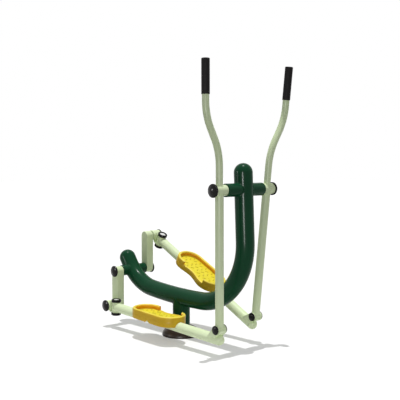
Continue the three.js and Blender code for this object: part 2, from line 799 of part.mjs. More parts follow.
function addFootBar(side, name, rest) {
  const bar = new THREE.Group();
  bar.position.set(rest.pin.x, side * leverPlane, rest.pin.z);
  bar.rotation.y = rest.barPitch;
  walker.add(bar);
  addPiece(bar, `${name}_foot_bar`, toGeometry(footBar()), palePaint);
  addPiece(bar, `${name}_clevis`, toGeometry(clevis()), palePaint, [footBarReach, 0, 0]);
  const earOuter = eyeWidth / 2 + eyeSideGap + earThickness;
  const pinPlace = [footBarReach, 0, pivotRise];
  addPiece(bar, `${name}_pivot_pin`, rod(pivotPinDiameter, 2 * earOuter, boreSides), bareSteel, pinPlace);
  for (const end of [-1, 1]) {
    const cap = domedCap(pivotCap);
    if (end < 0) cap.rotateX(Math.PI);
    const capName = end === side ? 'outer' : 'inner';
    const place = [footBarReach, end * (earOuter + seatGap), pivotRise];
    addPiece(bar, `${name}_pivot_cap_${capName}`, cap, blackPlastic, place);
  }
  addPiece(bar, `${name}_pedal`, toGeometry(pedal(side)), yellowPlastic);
}

// Swivel joint: a sleeve on the crank pin, and two lugs that hold the upright pin of the foot bar

function knuckleBody(side) {
  const innerEnd = side * (knuckleInner - leverPlane);
  const outerEnd = innerEnd + side * knuckleSleeveLength;
  const middle = (innerEnd + outerEnd) / 2;
  const lugInner = swivelSleeveHeight / 2 + seatGap;
  const lugOuter = lugInner + swivelLugThickness;
  const cheekBack = cheekFront - cheekThickness;
  const sleeve = rod(knuckleSleeveDiameter, knuckleSleeveLength);
  sleeve.translate(0, middle, 0);
  const cheek = block([cheekBack, -cheekHalfWidth, -lugOuter], [cheekFront, cheekHalfWidth, lugOuter]);
  let body = toSolid(sleeve).add(toSolid(cheek));
  for (const up of [-1, 1]) {
    const outline = new THREE.Shape();
    const radius = swivelSleeveDiameter / 2;
    outline.moveTo(cheekBack, -cheekHalfWidth);
    outline.absarc(swivelForward, 0, radius, -Math.PI / 2, Math.PI / 2, false);
    outline.lineTo(cheekBack, cheekHalfWidth);
    outline.closePath();
    const lug = new THREE.ExtrudeGeometry(outline, { depth: swivelLugThickness, bevelEnabled: false });
    lug.translate(0, 0, up < 0 ? -lugOuter : lugInner);
    body = body.add(toSolid(lug));
  }
  const pinBore = borer(axleDiameter + 2 * runGap, knuckleSleeveLength + 2 * cutOverrun);
  pinBore.translate(0, middle, 0);
  const swivelBore = alongZ(borer(swivelPinDiameter + 2 * runGap, 2 * (lugOuter + cutOverrun), boreSides));
  swivelBore.translate(swivelForward, 0, 0);
  return body.subtract(toSolid(pinBore)).subtract(toSolid(swivelBore));
}

function addKnuckle(side, name, rest) {
  const knuckle = new THREE.Group();
  knuckle.position.set(rest.pin.x, side * leverPlane, rest.pin.z);
  knuckle.rotation.y = rest.barPitch;
  walker.add(knuckle);
  addPiece(knuckle, `${name}_knuckle`, toGeometry(knuckleBody(side)), palePaint);
  const innerEnd = knuckleInner - leverPlane;
  const pinMiddle = side * (innerEnd + knuckleSleeveLength / 2);
  const pinLength = knuckleSleeveLength - 2 * seatGap;
  addPiece(knuckle, `${name}_crank_pin`, rod(axleDiameter, pinLength), bareSteel, [0, pinMiddle, 0]);
  const cap = domedCap(axleCap);
  if (side < 0) cap.rotateX(Math.PI);
  const capPlace = side * (innerEnd + knuckleSleeveLength + seatGap);
  addPiece(knuckle, `${name}_crank_pin_cap`, cap, blackPlastic, [0, capPlace, 0]);
  const lugOuter = swivelSleeveHeight / 2 + seatGap + swivelLugThickness;
  const swivelPin = alongZ(rod(swivelPinDiameter, 2 * lugOuter, boreSides));
  addPiece(knuckle, `${name}_swivel_pin`, swivelPin, bareSteel, [swivelForward, 0, 0]);
  for (const up of [-1, 1]) {
    const upCap = alongZ(domedCap(swivelCap));
    if (up < 0) upCap.rotateX(Math.PI);
    const capName = up > 0 ? 'top' : 'bottom';
    const place = [swivelForward, 0, up * (lugOuter + seatGap)];
    addPiece(knuckle, `${name}_swivel_cap_${capName}`, upCap, blackPlastic, place);
  }
}

addMainTube();
const frontDirection = new THREE.Vector3(
  -Math.sin(radians(uprightLeanDegrees)),
  0,
  Math.cos(radians(uprightLeanDegrees)),
);
addMainTubeDome('main_tube_front_dome', mainPath.getPoint(0), frontDirection);
const rearDirection = new THREE.Vector3(Math.cos(mainPath.end.heading), 0, Math.sin(mainPath.end.heading));
addMainTubeDome('main_tube_rear_dome', mainPath.getPoint(1), rearDirection);
addPost();
addGroundFixing();
addGroundCover();
addFrontShaft();
addRearBearings();
addCrankset();
for (const side of [-1, 1]) {
  const name = side < 0 ? 'right' : 'left';
  const rest = restAngles(side);
  addLever(side, name, rest.leverTurn);
  addFootBar(side, name, rest);
  addKnuckle(side, name, rest);
}

export default walker;
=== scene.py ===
import json
from math import acos, atan2, cos, hypot, pi, radians, sin, sqrt, tan, tau

import bmesh
import bpy
from mathutils import Matrix, Vector


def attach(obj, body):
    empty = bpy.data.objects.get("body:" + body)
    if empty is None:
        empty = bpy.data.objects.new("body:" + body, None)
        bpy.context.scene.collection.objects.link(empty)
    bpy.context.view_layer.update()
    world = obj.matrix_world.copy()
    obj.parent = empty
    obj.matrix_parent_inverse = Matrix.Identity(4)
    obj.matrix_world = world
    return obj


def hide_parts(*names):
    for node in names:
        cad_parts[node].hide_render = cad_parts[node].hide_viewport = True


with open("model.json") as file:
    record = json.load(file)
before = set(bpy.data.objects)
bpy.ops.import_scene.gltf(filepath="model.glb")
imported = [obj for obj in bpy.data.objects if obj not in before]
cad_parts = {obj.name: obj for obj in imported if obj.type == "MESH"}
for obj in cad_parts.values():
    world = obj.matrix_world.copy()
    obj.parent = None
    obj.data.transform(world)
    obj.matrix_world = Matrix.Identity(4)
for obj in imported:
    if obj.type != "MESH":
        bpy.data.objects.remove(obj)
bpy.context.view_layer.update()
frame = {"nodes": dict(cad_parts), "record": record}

# Outdoor air walker. Lengths are in millimetres until makePiece turns them into metres.
# +X is forward, +Y is the user's left, +Z is up, and the origin is under the post.

for spare in ("Cube", "Light", "Camera"):
    if spare in bpy.data.objects:
        bpy.data.objects.remove(bpy.data.objects[spare])

toMetres = 0.001
quarterTurn = pi / 2
seatGap = 0.3  # between a cap and what it sits on
least = 0.02  # what a turned, domed or rounded end closes to
settlings = 40  # rounds of halving or settling
across = Vector((0, 1, 0))
upward = Vector((0, 0, 1))
forward = Vector((1, 0, 0))
sides = {"right": -1, "left": 1}

layout = {
    "frontAxle": (538, 924),
    "leverPlane": 191.8,
    "leverLength": 768.6,
    "crankRadius": 218.7,
    "footBarReach": 1035,
    "pivotRise": 59,
    "swivelForward": 71,
}


# Finishes

# Sets an input, or joins it to the output that feeds it
def feed(tree, socket, value):
    if isinstance(value, bpy.types.NodeSocket):
        tree.links.new(value, socket)
    else:
        socket.default_value = value


def addNode(tree, kind, inputs):
    node = tree.nodes.new("ShaderNode" + kind)
    for name, value in inputs.items():
        feed(tree, node.inputs[name], value)
    return node


def noiseOver(tree, scale, detail, stretch=(1, 1, 1)):
    place = addNode(tree, "TexCoord", {}).outputs["Object"]
    spread = addNode(tree, "Mapping", {"Vector": place, "Scale": stretch}).outputs["Vector"]
    grain = addNode(tree, "TexNoise", {"Vector": spread, "Scale": scale, "Detail": detail})
    return grain.outputs["Fac"]


def spreadBetween(tree, factor, band, ends):
    reach = addNode(tree, "MapRange", {
        "Value": factor, "From Min": band[0], "From Max": band[1], "To Min": ends[0], "To Max": ends[1]})
    return reach.outputs["Result"]


def blendColours(tree, factor, first, second):
    mix = tree.nodes.new("ShaderNodeMix")
    mix.data_type = "RGBA"
    feed(tree, mix.inputs[0], factor)
    for number, colour in ((6, first), (7, second)):  # the mix node's two colour inputs
        feed(tree, mix.inputs[number], (*colour, 1) if isinstance(colour, tuple) else colour)
    return mix.outputs[2]


# How fine each layer's noise is, and the part of it over which one look passes to the next.
# Dust goes by how far the surface faces up.
layers = {
    "cloud": {"detail": 3, "band": (0.35, 0.65)}, "fleck": {"detail": 2, "band": (0.62, 0.7)},
    "sheen": {"detail": 4, "band": (0.3, 0.7)}, "relief": {"detail": 2}, "dust": {"band": (0.55, 1.0)},
}

# What a finish has where its own look doesn't say otherwise
plainLook = {
    "metal": 0, "specular": 0.15, "stretch": (1, 1, 1), "cloudScale": 12, "sheenScale": 60,
    "reliefScale": 600, "reliefDepth": 0.1, "reliefStrength": 0.2,
}


def makeFinish(name, ownLook):
    look = {**plainLook, **ownLook}
    finish = bpy.data.materials.new(name)
    finish.use_nodes = True
    tree = finish.node_tree
    shader = tree.nodes["Principled BSDF"]
    shader.inputs["Metallic"].default_value = look["metal"]
    shader.inputs["Specular IOR Level"].default_value = look["specular"]

    def noise(layer, stretch=(1, 1, 1)):
        return noiseOver(tree, look[layer + "Scale"], layers[layer]["detail"], stretch)

    def spread(layer, factor, ends):
        return spreadBetween(tree, factor, layers[layer]["band"], ends)

    clouds = spread("cloud", noise("cloud"), (0, 1))
    colour = blendColours(tree, clouds, look["colour"], look["second"])
    if "fleck" in look:
        flecks = spread("fleck", noise("fleck"), (0, look["fleckShare"]))
        colour = blendColours(tree, flecks, colour, look["fleck"])
    if "dust" in look:
        normal = addNode(tree, "NewGeometry", {}).outputs["Normal"]
        slope = addNode(tree, "SeparateXYZ", {"Vector": normal}).outputs["Z"]
        settled = spread("dust", slope, (0, look["dustShare"]))
        colour = blendColours(tree, settled, colour, look["dust"])
    dulled = spread("sheen", noise("sheen", look["stretch"]), look["roughness"])
    relief = addNode(tree, "Bump", {
        "Strength": look["reliefStrength"], "Distance": look["reliefDepth"] * toMetres,
        "Height": noise("relief", look["stretch"])})
    tree.links.new(colour, shader.inputs["Base Color"])
    tree.links.new(dulled, shader.inputs["Roughness"])
    tree.links.new(relief.outputs["Normal"], shader.inputs["Normal"])
    return finish


greenPaint = makeFinish("greenPaint", {
    "colour": (0.0057, 0.0539, 0.0221), "second": (0.0070, 0.0614, 0.0255), "cloudScale": 5,
    "dust": (0.018, 0.085, 0.045), "dustShare": 0.10,
    "roughness": (0.19, 0.24), "sheenScale": 30, "specular": 0.07,
    "reliefScale": 420, "reliefDepth": 0.04, "reliefStrength": 0.10,
})
palePaint = makeFinish("palePaint", {
    "colour": (0.72, 0.84, 0.52), "second": (0.76, 0.87, 0.57), "cloudScale": 6,
    "fleck": (0.66, 0.76, 0.49), "fleckScale": 160, "fleckShare": 0.3,
    "roughness": (0.28, 0.40), "sheenScale": 40,
    "reliefScale": 480, "reliefDepth": 0.06, "reliefStrength": 0.15,
})
blackPlastic = makeFinish("blackPlastic", {
    "colour": (0.004, 0.004, 0.004), "second": (0.007, 0.006, 0.006), "cloudScale": 40,
    "roughness": (0.10, 0.17), "sheenScale": 90, "specular": 0.14,
    "reliefScale": 700, "reliefDepth": 0.03, "reliefStrength": 0.1,
})
capDisc = makeFinish("capDisc", {
    "colour": (0.004, 0.003, 0.003), "second": (0.007, 0.006, 0.006), "cloudScale": 50,
    "roughness": (0.16, 0.24), "sheenScale": 90, "specular": 0.16,
    "reliefScale": 800, "reliefDepth": 0.04, "reliefStrength": 0.12,
})
# Painted reflection: the lid inside each swivel cup is pale grey where the black cap would mirror the
# bright light above.
lidPaintedReflection = makeFinish("lidPaintedReflection", {
    "colour": (0.72, 0.73, 0.72), "second": (0.80, 0.80, 0.79), "cloudScale": 50,
    "roughness": (0.24, 0.34), "sheenScale": 120, "specular": 0.5,
    "reliefScale": 800, "reliefDepth": 0.03, "reliefStrength": 0.12,
})
gripRubber = makeFinish("gripRubber", {
    "colour": (0.009, 0.008, 0.008), "second": (0.012, 0.011, 0.011), "cloudScale": 60,
    "roughness": (0.6, 0.75), "sheenScale": 120, "specular": 0.1,
    "reliefScale": 900, "reliefDepth": 0.25, "reliefStrength": 0.35,
})
treadPlastic = makeFinish("treadPlastic", {
    "colour": (0.78, 0.67, 0.032), "second": (0.83, 0.72, 0.042), "cloudScale": 14,
    "fleck": (0.64, 0.50, 0.03), "fleckScale": 130, "fleckShare": 0.3,
    "roughness": (0.38, 0.52), "reliefDepth": 0.12, "reliefStrength": 0.25,
})
# Painted shade: the pedal's yellow made darker and more amber, for its outward-facing walls.
skirtPaintedShade = makeFinish("skirtPaintedShade", {
    "colour": (0.63, 0.395, 0.018), "second": (0.68, 0.435, 0.023),
    "fleck": (0.60, 0.35, 0.018), "fleckScale": 140, "fleckShare": 0.25,
    "roughness": (0.32, 0.44), "specular": 0.12,
})
# Painted shade and bounced light: the pedal's yellow turned orange for the inward-facing rim walls.
insidePaintedShade = makeFinish("insidePaintedShade", {
    "colour": (0.84, 0.39, 0.020), "second": (0.88, 0.44, 0.026), "roughness": (0.32, 0.44),
})
barPlastic = makeFinish("barPlastic", {
    "colour": (0.60, 0.49, 0.024), "second": (0.66, 0.54, 0.030), "cloudScale": 14,
    "roughness": (0.4, 0.55), "reliefStrength": 0.25,
})
# The pedal's yellow for rim and lip faces that point up, brightened towards white as a painted
# highlight.
rimYellowPaintedHighlight = makeFinish("rimYellowPaintedHighlight", {
    "colour": (0.84, 0.67, 0.060), "second": (0.88, 0.73, 0.090),
    "fleck": (0.78, 0.58, 0.045), "fleckScale": 140, "fleckShare": 0.25,
    "roughness": (0.30, 0.42), "specular": 0.2,
})
brownPlastic = makeFinish("brownPlastic", {
    "colour": (0.027, 0.017, 0.012), "second": (0.036, 0.023, 0.017), "cloudScale": 22,
    "dust": (0.063, 0.048, 0.036), "dustShare": 0.25,
    "roughness": (0.28, 0.42), "sheenScale": 45, "reliefScale": 500, "reliefStrength": 0.25,
})
bareSteel = makeFinish("bareSteel", {
    "colour": (0.36, 0.37, 0.38), "second": (0.44, 0.45, 0.46), "cloudScale": 90, "metal": 1.0,
    "roughness": (0.25, 0.42), "sheenScale": 160, "specular": 0.5, "stretch": (1, 12, 1),
    "reliefScale": 900, "reliefDepth": 0.02,
})
bushPlastic = makeFinish("bushPlastic", {
    "colour": (0.08, 0.085, 0.09), "second": (0.10, 0.105, 0.11), "cloudScale": 60,
    "roughness": (0.5, 0.65), "sheenScale": 120, "specular": 0.3,
    "reliefScale": 800, "reliefDepth": 0.05,
})
print("finishes made")


# Mesh making: every maker adds its shape to a bmesh, in the place that its matrix gives

def addRings(shape, rings, place=Matrix(), closedLoop=False, look=None):
    rows = [[shape.verts.new(place @ Vector(point)) for point in ring] for ring in rings]
    pairs = list(zip(rows, rows[1:]))
    if closedLoop:
        pairs.append((rows[-1], rows[0]))
    for number, (first, second) in enumerate(pairs):
        for turn in range(len(first)):
            following = (turn + 1) % len(first)
            face = shape.faces.new((first[turn], first[following], second[following], second[turn]))
            face.material_index = look(number) if look else 0
    if not closedLoop:
        for ring, number in ((rows[0][::-1], 0), (rows[-1], len(rows) - 2)):
            shape.faces.new(ring).material_index = look(number) if look else 0


def anglesRound(count):
    return [tau * turn / count for turn in range(count)]


def circle(radius, sideCount):
    return [(radius * cos(angle), radius * sin(angle)) for angle in anglesRound(sideCount)]


def arc(radius, start, turn, steps, middle=(0, 0)):
    angles = [start + turn * step / steps for step in range(steps + 1)]
    x, y = middle
    return [(x + radius * cos(angle), y + radius * sin(angle)) for angle in angles]


# A turned body about local Z: the profile is a list of radius and height
def addTurned(shape, profile, place=Matrix(), sideCount=48, closedLoop=False, look=None):
    rings = []
    for radius, height in profile:
        rings.append([(x, y, height) for x, y in circle(max(radius, least), sideCount)])
    addRings(shape, rings, place, closedLoop, look)


# Rounds the corners of a profile: each corner is radius, height and how far it is rounded
def softened(corners, steps=5):
    points = []
    for number, (radius, height, rounding) in enumerate(corners):
        corner = Vector((radius, height))
        if rounding == 0 or number in (0, len(corners) - 1):
            points.append((radius, height))
            continue
        before = (Vector(corners[number - 1][:2]) - corner).normalized()
        after = (Vector(corners[number + 1][:2]) - corner).normalized()
        half = before.angle(after) / 2
        start = corner + before * (rounding / tan(half))
        centre = corner + (before + after).normalized() * (rounding / sin(half))
        opening = start - centre
        turn = pi - 2 * half
        if before.cross(after) > 0:
            turn = -turn
        for step in range(steps + 1):
            spun = Matrix.Rotation(turn * step / steps, 2) @ opening
            points.append(tuple(centre + spun))
    return points


# A round bar along local Z, with both edges rounded
def addRod(shape, radius, low, high, edge, place=Matrix(), sideCount=56):
    profile = softened([(0, low, 0), (radius, low, edge), (radius, high, edge), (0, high, 0)])
    addTurned(shape, profile, place, sideCount)


# A round tube along stations: each gives a centre, two directions across the tube and its radius
def addSwept(shape, stations, sideCount):
    rings = []
    for centre, first, second, radius in stations:
        rings.append([centre + first * x + second * y for x, y in circle(radius, sideCount)])
    addRings(shape, rings)


# A plate from an outline in X and Z, between two places along Y, with softened edges
def addPlate(shape, outline, low, high, rounding, place=Matrix()):
    part = bmesh.new()
    rows = [[part.verts.new((x, depth, z)) for x, z in outline] for depth in (low, high)]
    part.faces.new(rows[0])
    part.faces.new(rows[1][::-1])
    count = len(outline)
    for turn in range(count):
        following = (turn + 1) % count
        part.faces.new((rows[0][turn], rows[1][turn], rows[1][following], rows[0][following]))
    bmesh.ops.recalc_face_normals(part, faces=part.faces)
    sharpFrom = radians(32)
    sharp = [edge for edge in part.edges if edge.calc_face_angle(0) > sharpFrom]
    if rounding > 0:
        bmesh.ops.bevel(part, geom=sharp, offset=rounding, segments=3, profile=0.5,
                        affect="EDGES", clamp_overlap=True)
    known = {vert: shape.verts.new(place @ vert.co) for vert in part.verts}
    for face in part.faces:
        shape.faces.new([known[vert] for vert in face.verts])
    part.free()


def makePiece(name, shape, finishes, body, place=Matrix(), standsFor=(), sharpAngle=40):
    sameSpot = 0.001
    bmesh.ops.remove_doubles(shape, verts=shape.verts, dist=sameSpot)
    bmesh.ops.recalc_face_normals(shape, faces=shape.faces)
    shape.transform(Matrix.Scale(toMetres, 4) @ place)
    mesh = bpy.data.meshes.new(name)
    shape.to_mesh(mesh)
    shape.free()
    mesh.polygons.foreach_set("use_smooth", [True] * len(mesh.polygons))
    mesh.set_sharp_from_angle(angle=radians(sharpAngle))
    piece = bpy.data.objects.new(name, mesh)
    bpy.context.scene.collection.objects.link(piece)
    for finish in finishes:
        mesh.materials.append(finish)
    if standsFor:
        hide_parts(*standsFor)
    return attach(piece, body)


# A pale shell on one side of the machine. Where it names a solid, it stands for that.
def makePale(sideName, title, shape, body, place, solid=None):
    standsFor = [f"{sideName}_{solid}"] if solid else ()
    makePiece(f"{sideName}{title}", shape, [palePaint], body, place, standsFor)


# Local Z turned to a direction, at a point
def towards(direction, point=(0, 0, 0)):
    turn = upward.rotation_difference(Vector(direction)).to_matrix().to_4x4()
    return Matrix.Translation(Vector(point)) @ turn


# A weld: a thin rippled bead along a run of spots, each a point and the direction out of the joint
def addWeld(shape, spots, size, closedRun=True):
    ripple = {"length": 5.5, "depth": 0.13, "sideCount": 8, "endShare": 0.3}
    points = [point for point, outward in spots]
    last = len(points) - 1
    run = 0.0
    rings = []
    for number, (point, outward) in enumerate(spots):
        ahead, behind = points[min(number + 1, last)], points[max(number - 1, 0)]
        if closedRun:
            ahead, behind = points[(number + 1) % len(points)], points[number - 1]
        heading = (ahead - behind).normalized()
        first = (outward - heading * outward.dot(heading)).normalized()
        second = heading.cross(first)
        radius = size * (1 + ripple["depth"] * sin(tau * run / ripple["length"]))
        if not closedRun and number in (0, last):
            radius = size * ripple["endShare"]
        rings.append([point + first * x + second * y for x, y in circle(radius, ripple["sideCount"])])
        run += (ahead - point).length
    addRings(shape, rings, closedLoop=closedRun)


# Where a round branch leaves a round tube, both axes through the middle and square to each other
def branchSpots(middle, branchWay, tubeWay, branchRadius, tubeRadius, count=150):
    sideWay = tubeWay.cross(branchWay)
    spots = []
    for angle in anglesRound(count):
        offset = branchRadius * sin(angle)
        height = sqrt(max(tubeRadius ** 2 - offset ** 2, 0))
        spoke = tubeWay * cos(angle) + sideWay * sin(angle)
        onTube = (sideWay * offset + branchWay * height).normalized()
        spots.append((middle + spoke * branchRadius + branchWay * height, spoke + onTube))
    return spots


# Halves a stretch again and again, down to the place where a test stops being true
def whereItEnds(low, high, test):
    for halving in range(settlings):
        middle = (low + high) / 2
        if test(middle):
            low = middle
        else:
            high = middle
    return low


# Centrelines as straight and bent legs: the main tube's in X and Z, the handles' outwards and up

def layPath(start, headingDegrees, stretches):
    legs = []
    x, z = start
    heading = radians(headingDegrees)
    run = 0.0
    for stretch in stretches:
        turn = radians(stretch.get("turn", 0))
        length = stretch["length"] if "length" in stretch else stretch["radius"] * abs(turn)
        legs.append({"x": x, "z": z, "heading": heading, "bend": turn / length,
                     "length": length, "from": run})
        x, z, heading = stepAlong(legs[-1], length)
        run += length
    return legs


def stepAlong(leg, distance):
    heading = leg["heading"] + leg["bend"] * distance
    if leg["bend"] == 0:
        x = leg["x"] + cos(heading) * distance
        z = leg["z"] + sin(heading) * distance
        return x, z, heading
    x = leg["x"] + (sin(heading) - sin(leg["heading"])) / leg["bend"]
    z = leg["z"] - (cos(heading) - cos(leg["heading"])) / leg["bend"]
    return x, z, heading


def placeAt(legs, distance):
    hair = 1e-6
    leg = [one for one in legs if one["from"] <= distance + hair][-1]
    return stepAlong(leg, distance - leg["from"])


def pathLength(legs):
    return legs[-1]["from"] + legs[-1]["length"]


# Places along a path, at about equal gaps; straight legs may have a fixed number instead
def walkPath(legs, gap, straightSteps=None):
    places = []
    for leg in legs:
        count = max(2, round(leg["length"] / gap))
        if straightSteps and leg["bend"] == 0:
            count = straightSteps
        for step in range(count + (leg is legs[-1])):
            places.append(stepAlong(leg, leg["length"] * step / count))
    return places


# How far a point in X and Z lies from a leg's centreline
def offCentre(leg, x, z):
    if leg["bend"] == 0:
        along, up = x - leg["x"], z - leg["z"]
        return abs(along * sin(leg["heading"]) - up * cos(leg["heading"]))
    centreX = leg["x"] - sin(leg["heading"]) / leg["bend"]
    centreZ = leg["z"] + cos(leg["heading"]) / leg["bend"]
    return abs(hypot(x - centreX, z - centreZ) - 1 / abs(leg["bend"]))


mainTube = {
    "radius": 54, "lean": 2.5, "aboveAxle": 97, "bowHeight": 239.5,
    "frontBend": {"radius": 372, "turn": -91.2},
    "bottomBow": {"radius": 3900, "turn": -7.03},
    "rearBend": {"radius": 331.4, "turn": -48.5},
    "rearStraight": 47, "rearAxleFromEnd": 94, "sideCount": 72, "stationGap": 9,
    "straightSteps": 3, "domeSteps": 18,
}
frontAxle = Vector((layout["frontAxle"][0], 0, layout["frontAxle"][1]))


def mainLegs(belowAxle):
    lean = radians(mainTube["lean"])
    above = mainTube["aboveAxle"]
    top = (frontAxle.x - above * sin(lean), frontAxle.z + above * cos(lean))
    return layPath(top, mainTube["lean"] - 90, [
        {"length": above + belowAxle},
        mainTube["frontBend"], mainTube["bottomBow"], mainTube["rearBend"],
        {"length": mainTube["rearStraight"]},
    ])


def heightOverPost(legs):
    def isAhead(distance):
        return placeAt(legs, distance)[0] > 0

    return placeAt(legs, whereItEnds(legs[2]["from"], pathLength(legs), isAhead))[1]


belowAxle = frontAxle.z - mainTube["bowHeight"] - mainTube["frontBend"]["radius"]
for settling in range(settlings):
    belowAxle += heightOverPost(mainLegs(belowAxle)) - mainTube["bowHeight"]
tubeLegs = mainLegs(belowAxle)
tubeLength = pathLength(tubeLegs)
rearX, rearZ, rearHeading = placeAt(tubeLegs, tubeLength - mainTube["rearAxleFromEnd"])
rearAxle = Vector((rearX, 0, rearZ))


# How a lever and its foot bar stand with the crank pin straight below or above the rear axle
def restPlaces(side):
    pin = rearAxle + upward * side * layout["crankRadius"]
    reach, rise = layout["footBarReach"], layout["pivotRise"]
    span = hypot(reach, rise)
    gap = frontAxle - pin
    distance = gap.length
    cosine = (span ** 2 + distance ** 2 - layout["leverLength"] ** 2) / (2 * span * distance)
    angle = atan2(gap.z, gap.x) - acos(cosine)
    pivot = pin + Vector((span * cos(angle), 0, span * sin(angle)))
    pitch = atan2(rise, reach) - angle
    swing = atan2(frontAxle.x - pivot.x, frontAxle.z - pivot.z)
    plane = across * side * layout["leverPlane"]
    lever = Matrix.Translation(frontAxle + plane) @ Matrix.Rotation(swing, 4, "Y")
    bar = Matrix.Translation(pin + plane) @ Matrix.Rotation(pitch, 4, "Y")
    return lever, bar


print("layout solved, rear axle at", round(rearAxle.x, 2), round(rearAxle.z, 2))


# Frame

def makeGreen(name, shape, standsFor=(), place=Matrix(), sharpAngle=40):
    makePiece(name, shape, [greenPaint], "root", place, standsFor, sharpAngle)


def makeMainTube():
    stations = []
    for x, z, heading in walkPath(tubeLegs, mainTube["stationGap"], mainTube["straightSteps"]):
        normal = Vector((-sin(heading), 0, cos(heading)))
        stations.append((Vector((x, 0, z)), across, normal, mainTube["radius"]))
    shape = bmesh.new()
    addSwept(shape, stations, mainTube["sideCount"])
    makeGreen("mainTubeShell", shape, ["main_tube"])


def makeTubeEnd(name, node, distance, outward):
    x, z, heading = placeAt(tubeLegs, distance)
    way = Vector((cos(heading), 0, sin(heading))) * outward
    profile = [(0, 0)] + arc(mainTube["radius"], 0, quarterTurn, mainTube["domeSteps"])
    shape = bmesh.new()
    addTurned(shape, profile, sideCount=mainTube["sideCount"])
    makeGreen(name, shape, [node], towards(way, (x, 0, z)), sharpAngle=60)


def makeCrossTube(name, node, middle, look, weldLeg):
    half, radius = look["halfLength"], look["radius"]
    shape = bmesh.new()
    addRod(shape, radius, -half, half, look["edge"], towards(across))
    makeGreen(name, shape, [node], Matrix.Translation(middle))
    for sideName, side in sides.items():
        spots = []
        for angle in anglesRound(look["weldSteps"]):
            spoke = Vector((cos(angle), 0, sin(angle)))
            point = middle + spoke * radius
            off = offCentre(weldLeg, point.x, point.z)
            point.y = side * sqrt(mainTube["radius"] ** 2 - off ** 2)
            spots.append((point, spoke + across * side))
        weld = bmesh.new()
        addWeld(weld, spots, look["weld"])
        makeGreen(f"{name}_{sideName}Weld", weld)


def makePost():
    look = {"radius": 54, "bottom": 12.3, "top": 236, "sideCount": 64,
            "weld": 4, "weldSteps": 220, "weldLean": 0.7, "weldReach": 2}
    radius, bottom, top = look["radius"], look["bottom"], look["top"]
    shape = bmesh.new()
    profile = [(0, bottom), (radius, bottom), (radius, top), (0, top)]
    addTurned(shape, profile, sideCount=look["sideCount"])
    makeGreen("postShell", shape, ["post"])
    spots = []
    for angle in anglesRound(look["weldSteps"]):
        spoke = Vector((cos(angle), sin(angle), 0))
        spot = spoke * radius
        reach = sqrt(max(mainTube["radius"] ** 2 - spot.y ** 2, 0))
        spot.z = whereItEnds(top - 2 * radius, mainTube["bowHeight"] + look["weldReach"],
                             lambda height: offCentre(tubeLegs[2], spot.x, height) > reach)
        spots.append((spot, spoke - upward * look["weldLean"]))
    weld = bmesh.new()
    addWeld(weld, spots, look["weld"])
    makeGreen("postWeld", weld)


# A low dome round the foot of the post, with a flat lip on the ground and a rolled collar on the post
def makeGroundCover():
    look = {"radius": 120, "height": 70, "wall": 5, "hole": 54.6, "lip": 2.6, "sole": 5, "chamfer": 0.6,
            "collarWidth": 2.4, "collar": [(1.6, 0.5), (0.6, -0.2), (0.3, -5)], "steps": 22}
    radius, height, wall, lip = look["radius"], look["height"], look["wall"], look["lip"]
    toCollar = acos((look["hole"] + look["collarWidth"]) / radius)
    bow = arc(1, 0, toCollar, look["steps"])
    outer = [(radius - look["sole"], 0), (radius, look["chamfer"]), (radius, lip)]
    outer += [(radius * out, lip + (height - lip) * up) for out, up in bow[1:]]
    top = outer[-1][1]
    collar = [(look["hole"] + out, top + rise) for out, rise in look["collar"]]
    inner = [((radius - wall) * out, (height - wall) * up) for out, up in bow[::-2]]
    shape = bmesh.new()
    addTurned(shape, outer + collar + inner, sideCount=96, closedLoop=True)
    makePiece("groundCoverShell", shape, [brownPlastic], "root",
              standsFor=["ground_cover"])


makeMainTube()
makeTubeEnd("frontRoundEnd", "main_tube_front_dome", 0, -1)
makeTubeEnd("rearRoundEnd", "main_tube_rear_dome", tubeLength, 1)
makeCrossTube("frontCrossTube", "front_cross_tube", frontAxle, {
    "radius": 38, "halfLength": 146.6, "edge": 2.5, "weld": 3.6, "weldSteps": 180}, tubeLegs[0])
makeCrossTube("rearBearingTube", "rear_bearing_tube", rearAxle, {
    "radius": 34.5, "halfLength": 95, "edge": 2, "weld": 3.4, "weldSteps": 160}, tubeLegs[3])
makePost()
makeGroundCover()
print("frame made")


# Round caps. Those on the sides are a rim round a low dome, and those on the swivel pins are cups
# with a lid inside, coloured pale grey as a painted reflection.

capSizes = {
    "hub": {"radius": 38.5, "rim": 8, "dome": 9},
    "axle": {"radius": 36.5, "rim": 6, "dome": 8},
    "pivot": {"radius": 25.5, "rim": 4, "dome": 6},
    "swivel": {"radius": 32, "height": 17.5, "ring": 9, "depth": 5.5, "crown": 4.6},
}
domeLook = {"share": 0.87, "crestShare": 0.9, "groove": 1.2, "edges": (1, 2.2, 0.6), "steps": 14}
cupLook = {"edges": (1.5, 6, 2.4, 0.8), "lean": 3, "floorEdge": 4, "steps": 6}


# Both profiles come with the row at which the second finish starts
def domeProfile(size):
    radius, wall, rise = size["radius"], size["rim"], size["dome"]
    foot = radius * domeLook["share"]
    low, high, inner = domeLook["edges"]
    crest = radius * domeLook["crestShare"]
    rim = softened([(0, 0, 0), (radius, 0, low), (radius, wall, high), (crest, wall, inner),
                    (foot, wall - domeLook["groove"], 0)])
    ball = (foot ** 2 + rise ** 2) / (2 * rise)
    outs = [foot * (1 - step / domeLook["steps"]) for step in range(domeLook["steps"] + 1)]
    dome = [(out, wall + rise - ball + sqrt(ball ** 2 - out ** 2)) for out in outs]
    return rim + dome, len(rim)


def cupProfile(size):
    radius, height = size["radius"], size["height"]
    inner, floorHeight = radius - size["ring"], height - size["depth"]
    lidRadius = inner - cupLook["floorEdge"]
    low, high, mouth, foot = cupLook["edges"]
    cup = softened([(0, 0, 0), (radius, 0, low), (radius, height, high), (inner, height, mouth),
                    (inner - cupLook["lean"], floorHeight, foot), (lidRadius, floorHeight, 0)])
    shares = [1 - step / cupLook["steps"] for step in range(1, cupLook["steps"] + 1)]
    lid = [(lidRadius * share, floorHeight + size["crown"] * (1 - share ** 2)) for share in shares]
    return cup + lid, len(cup) - 1


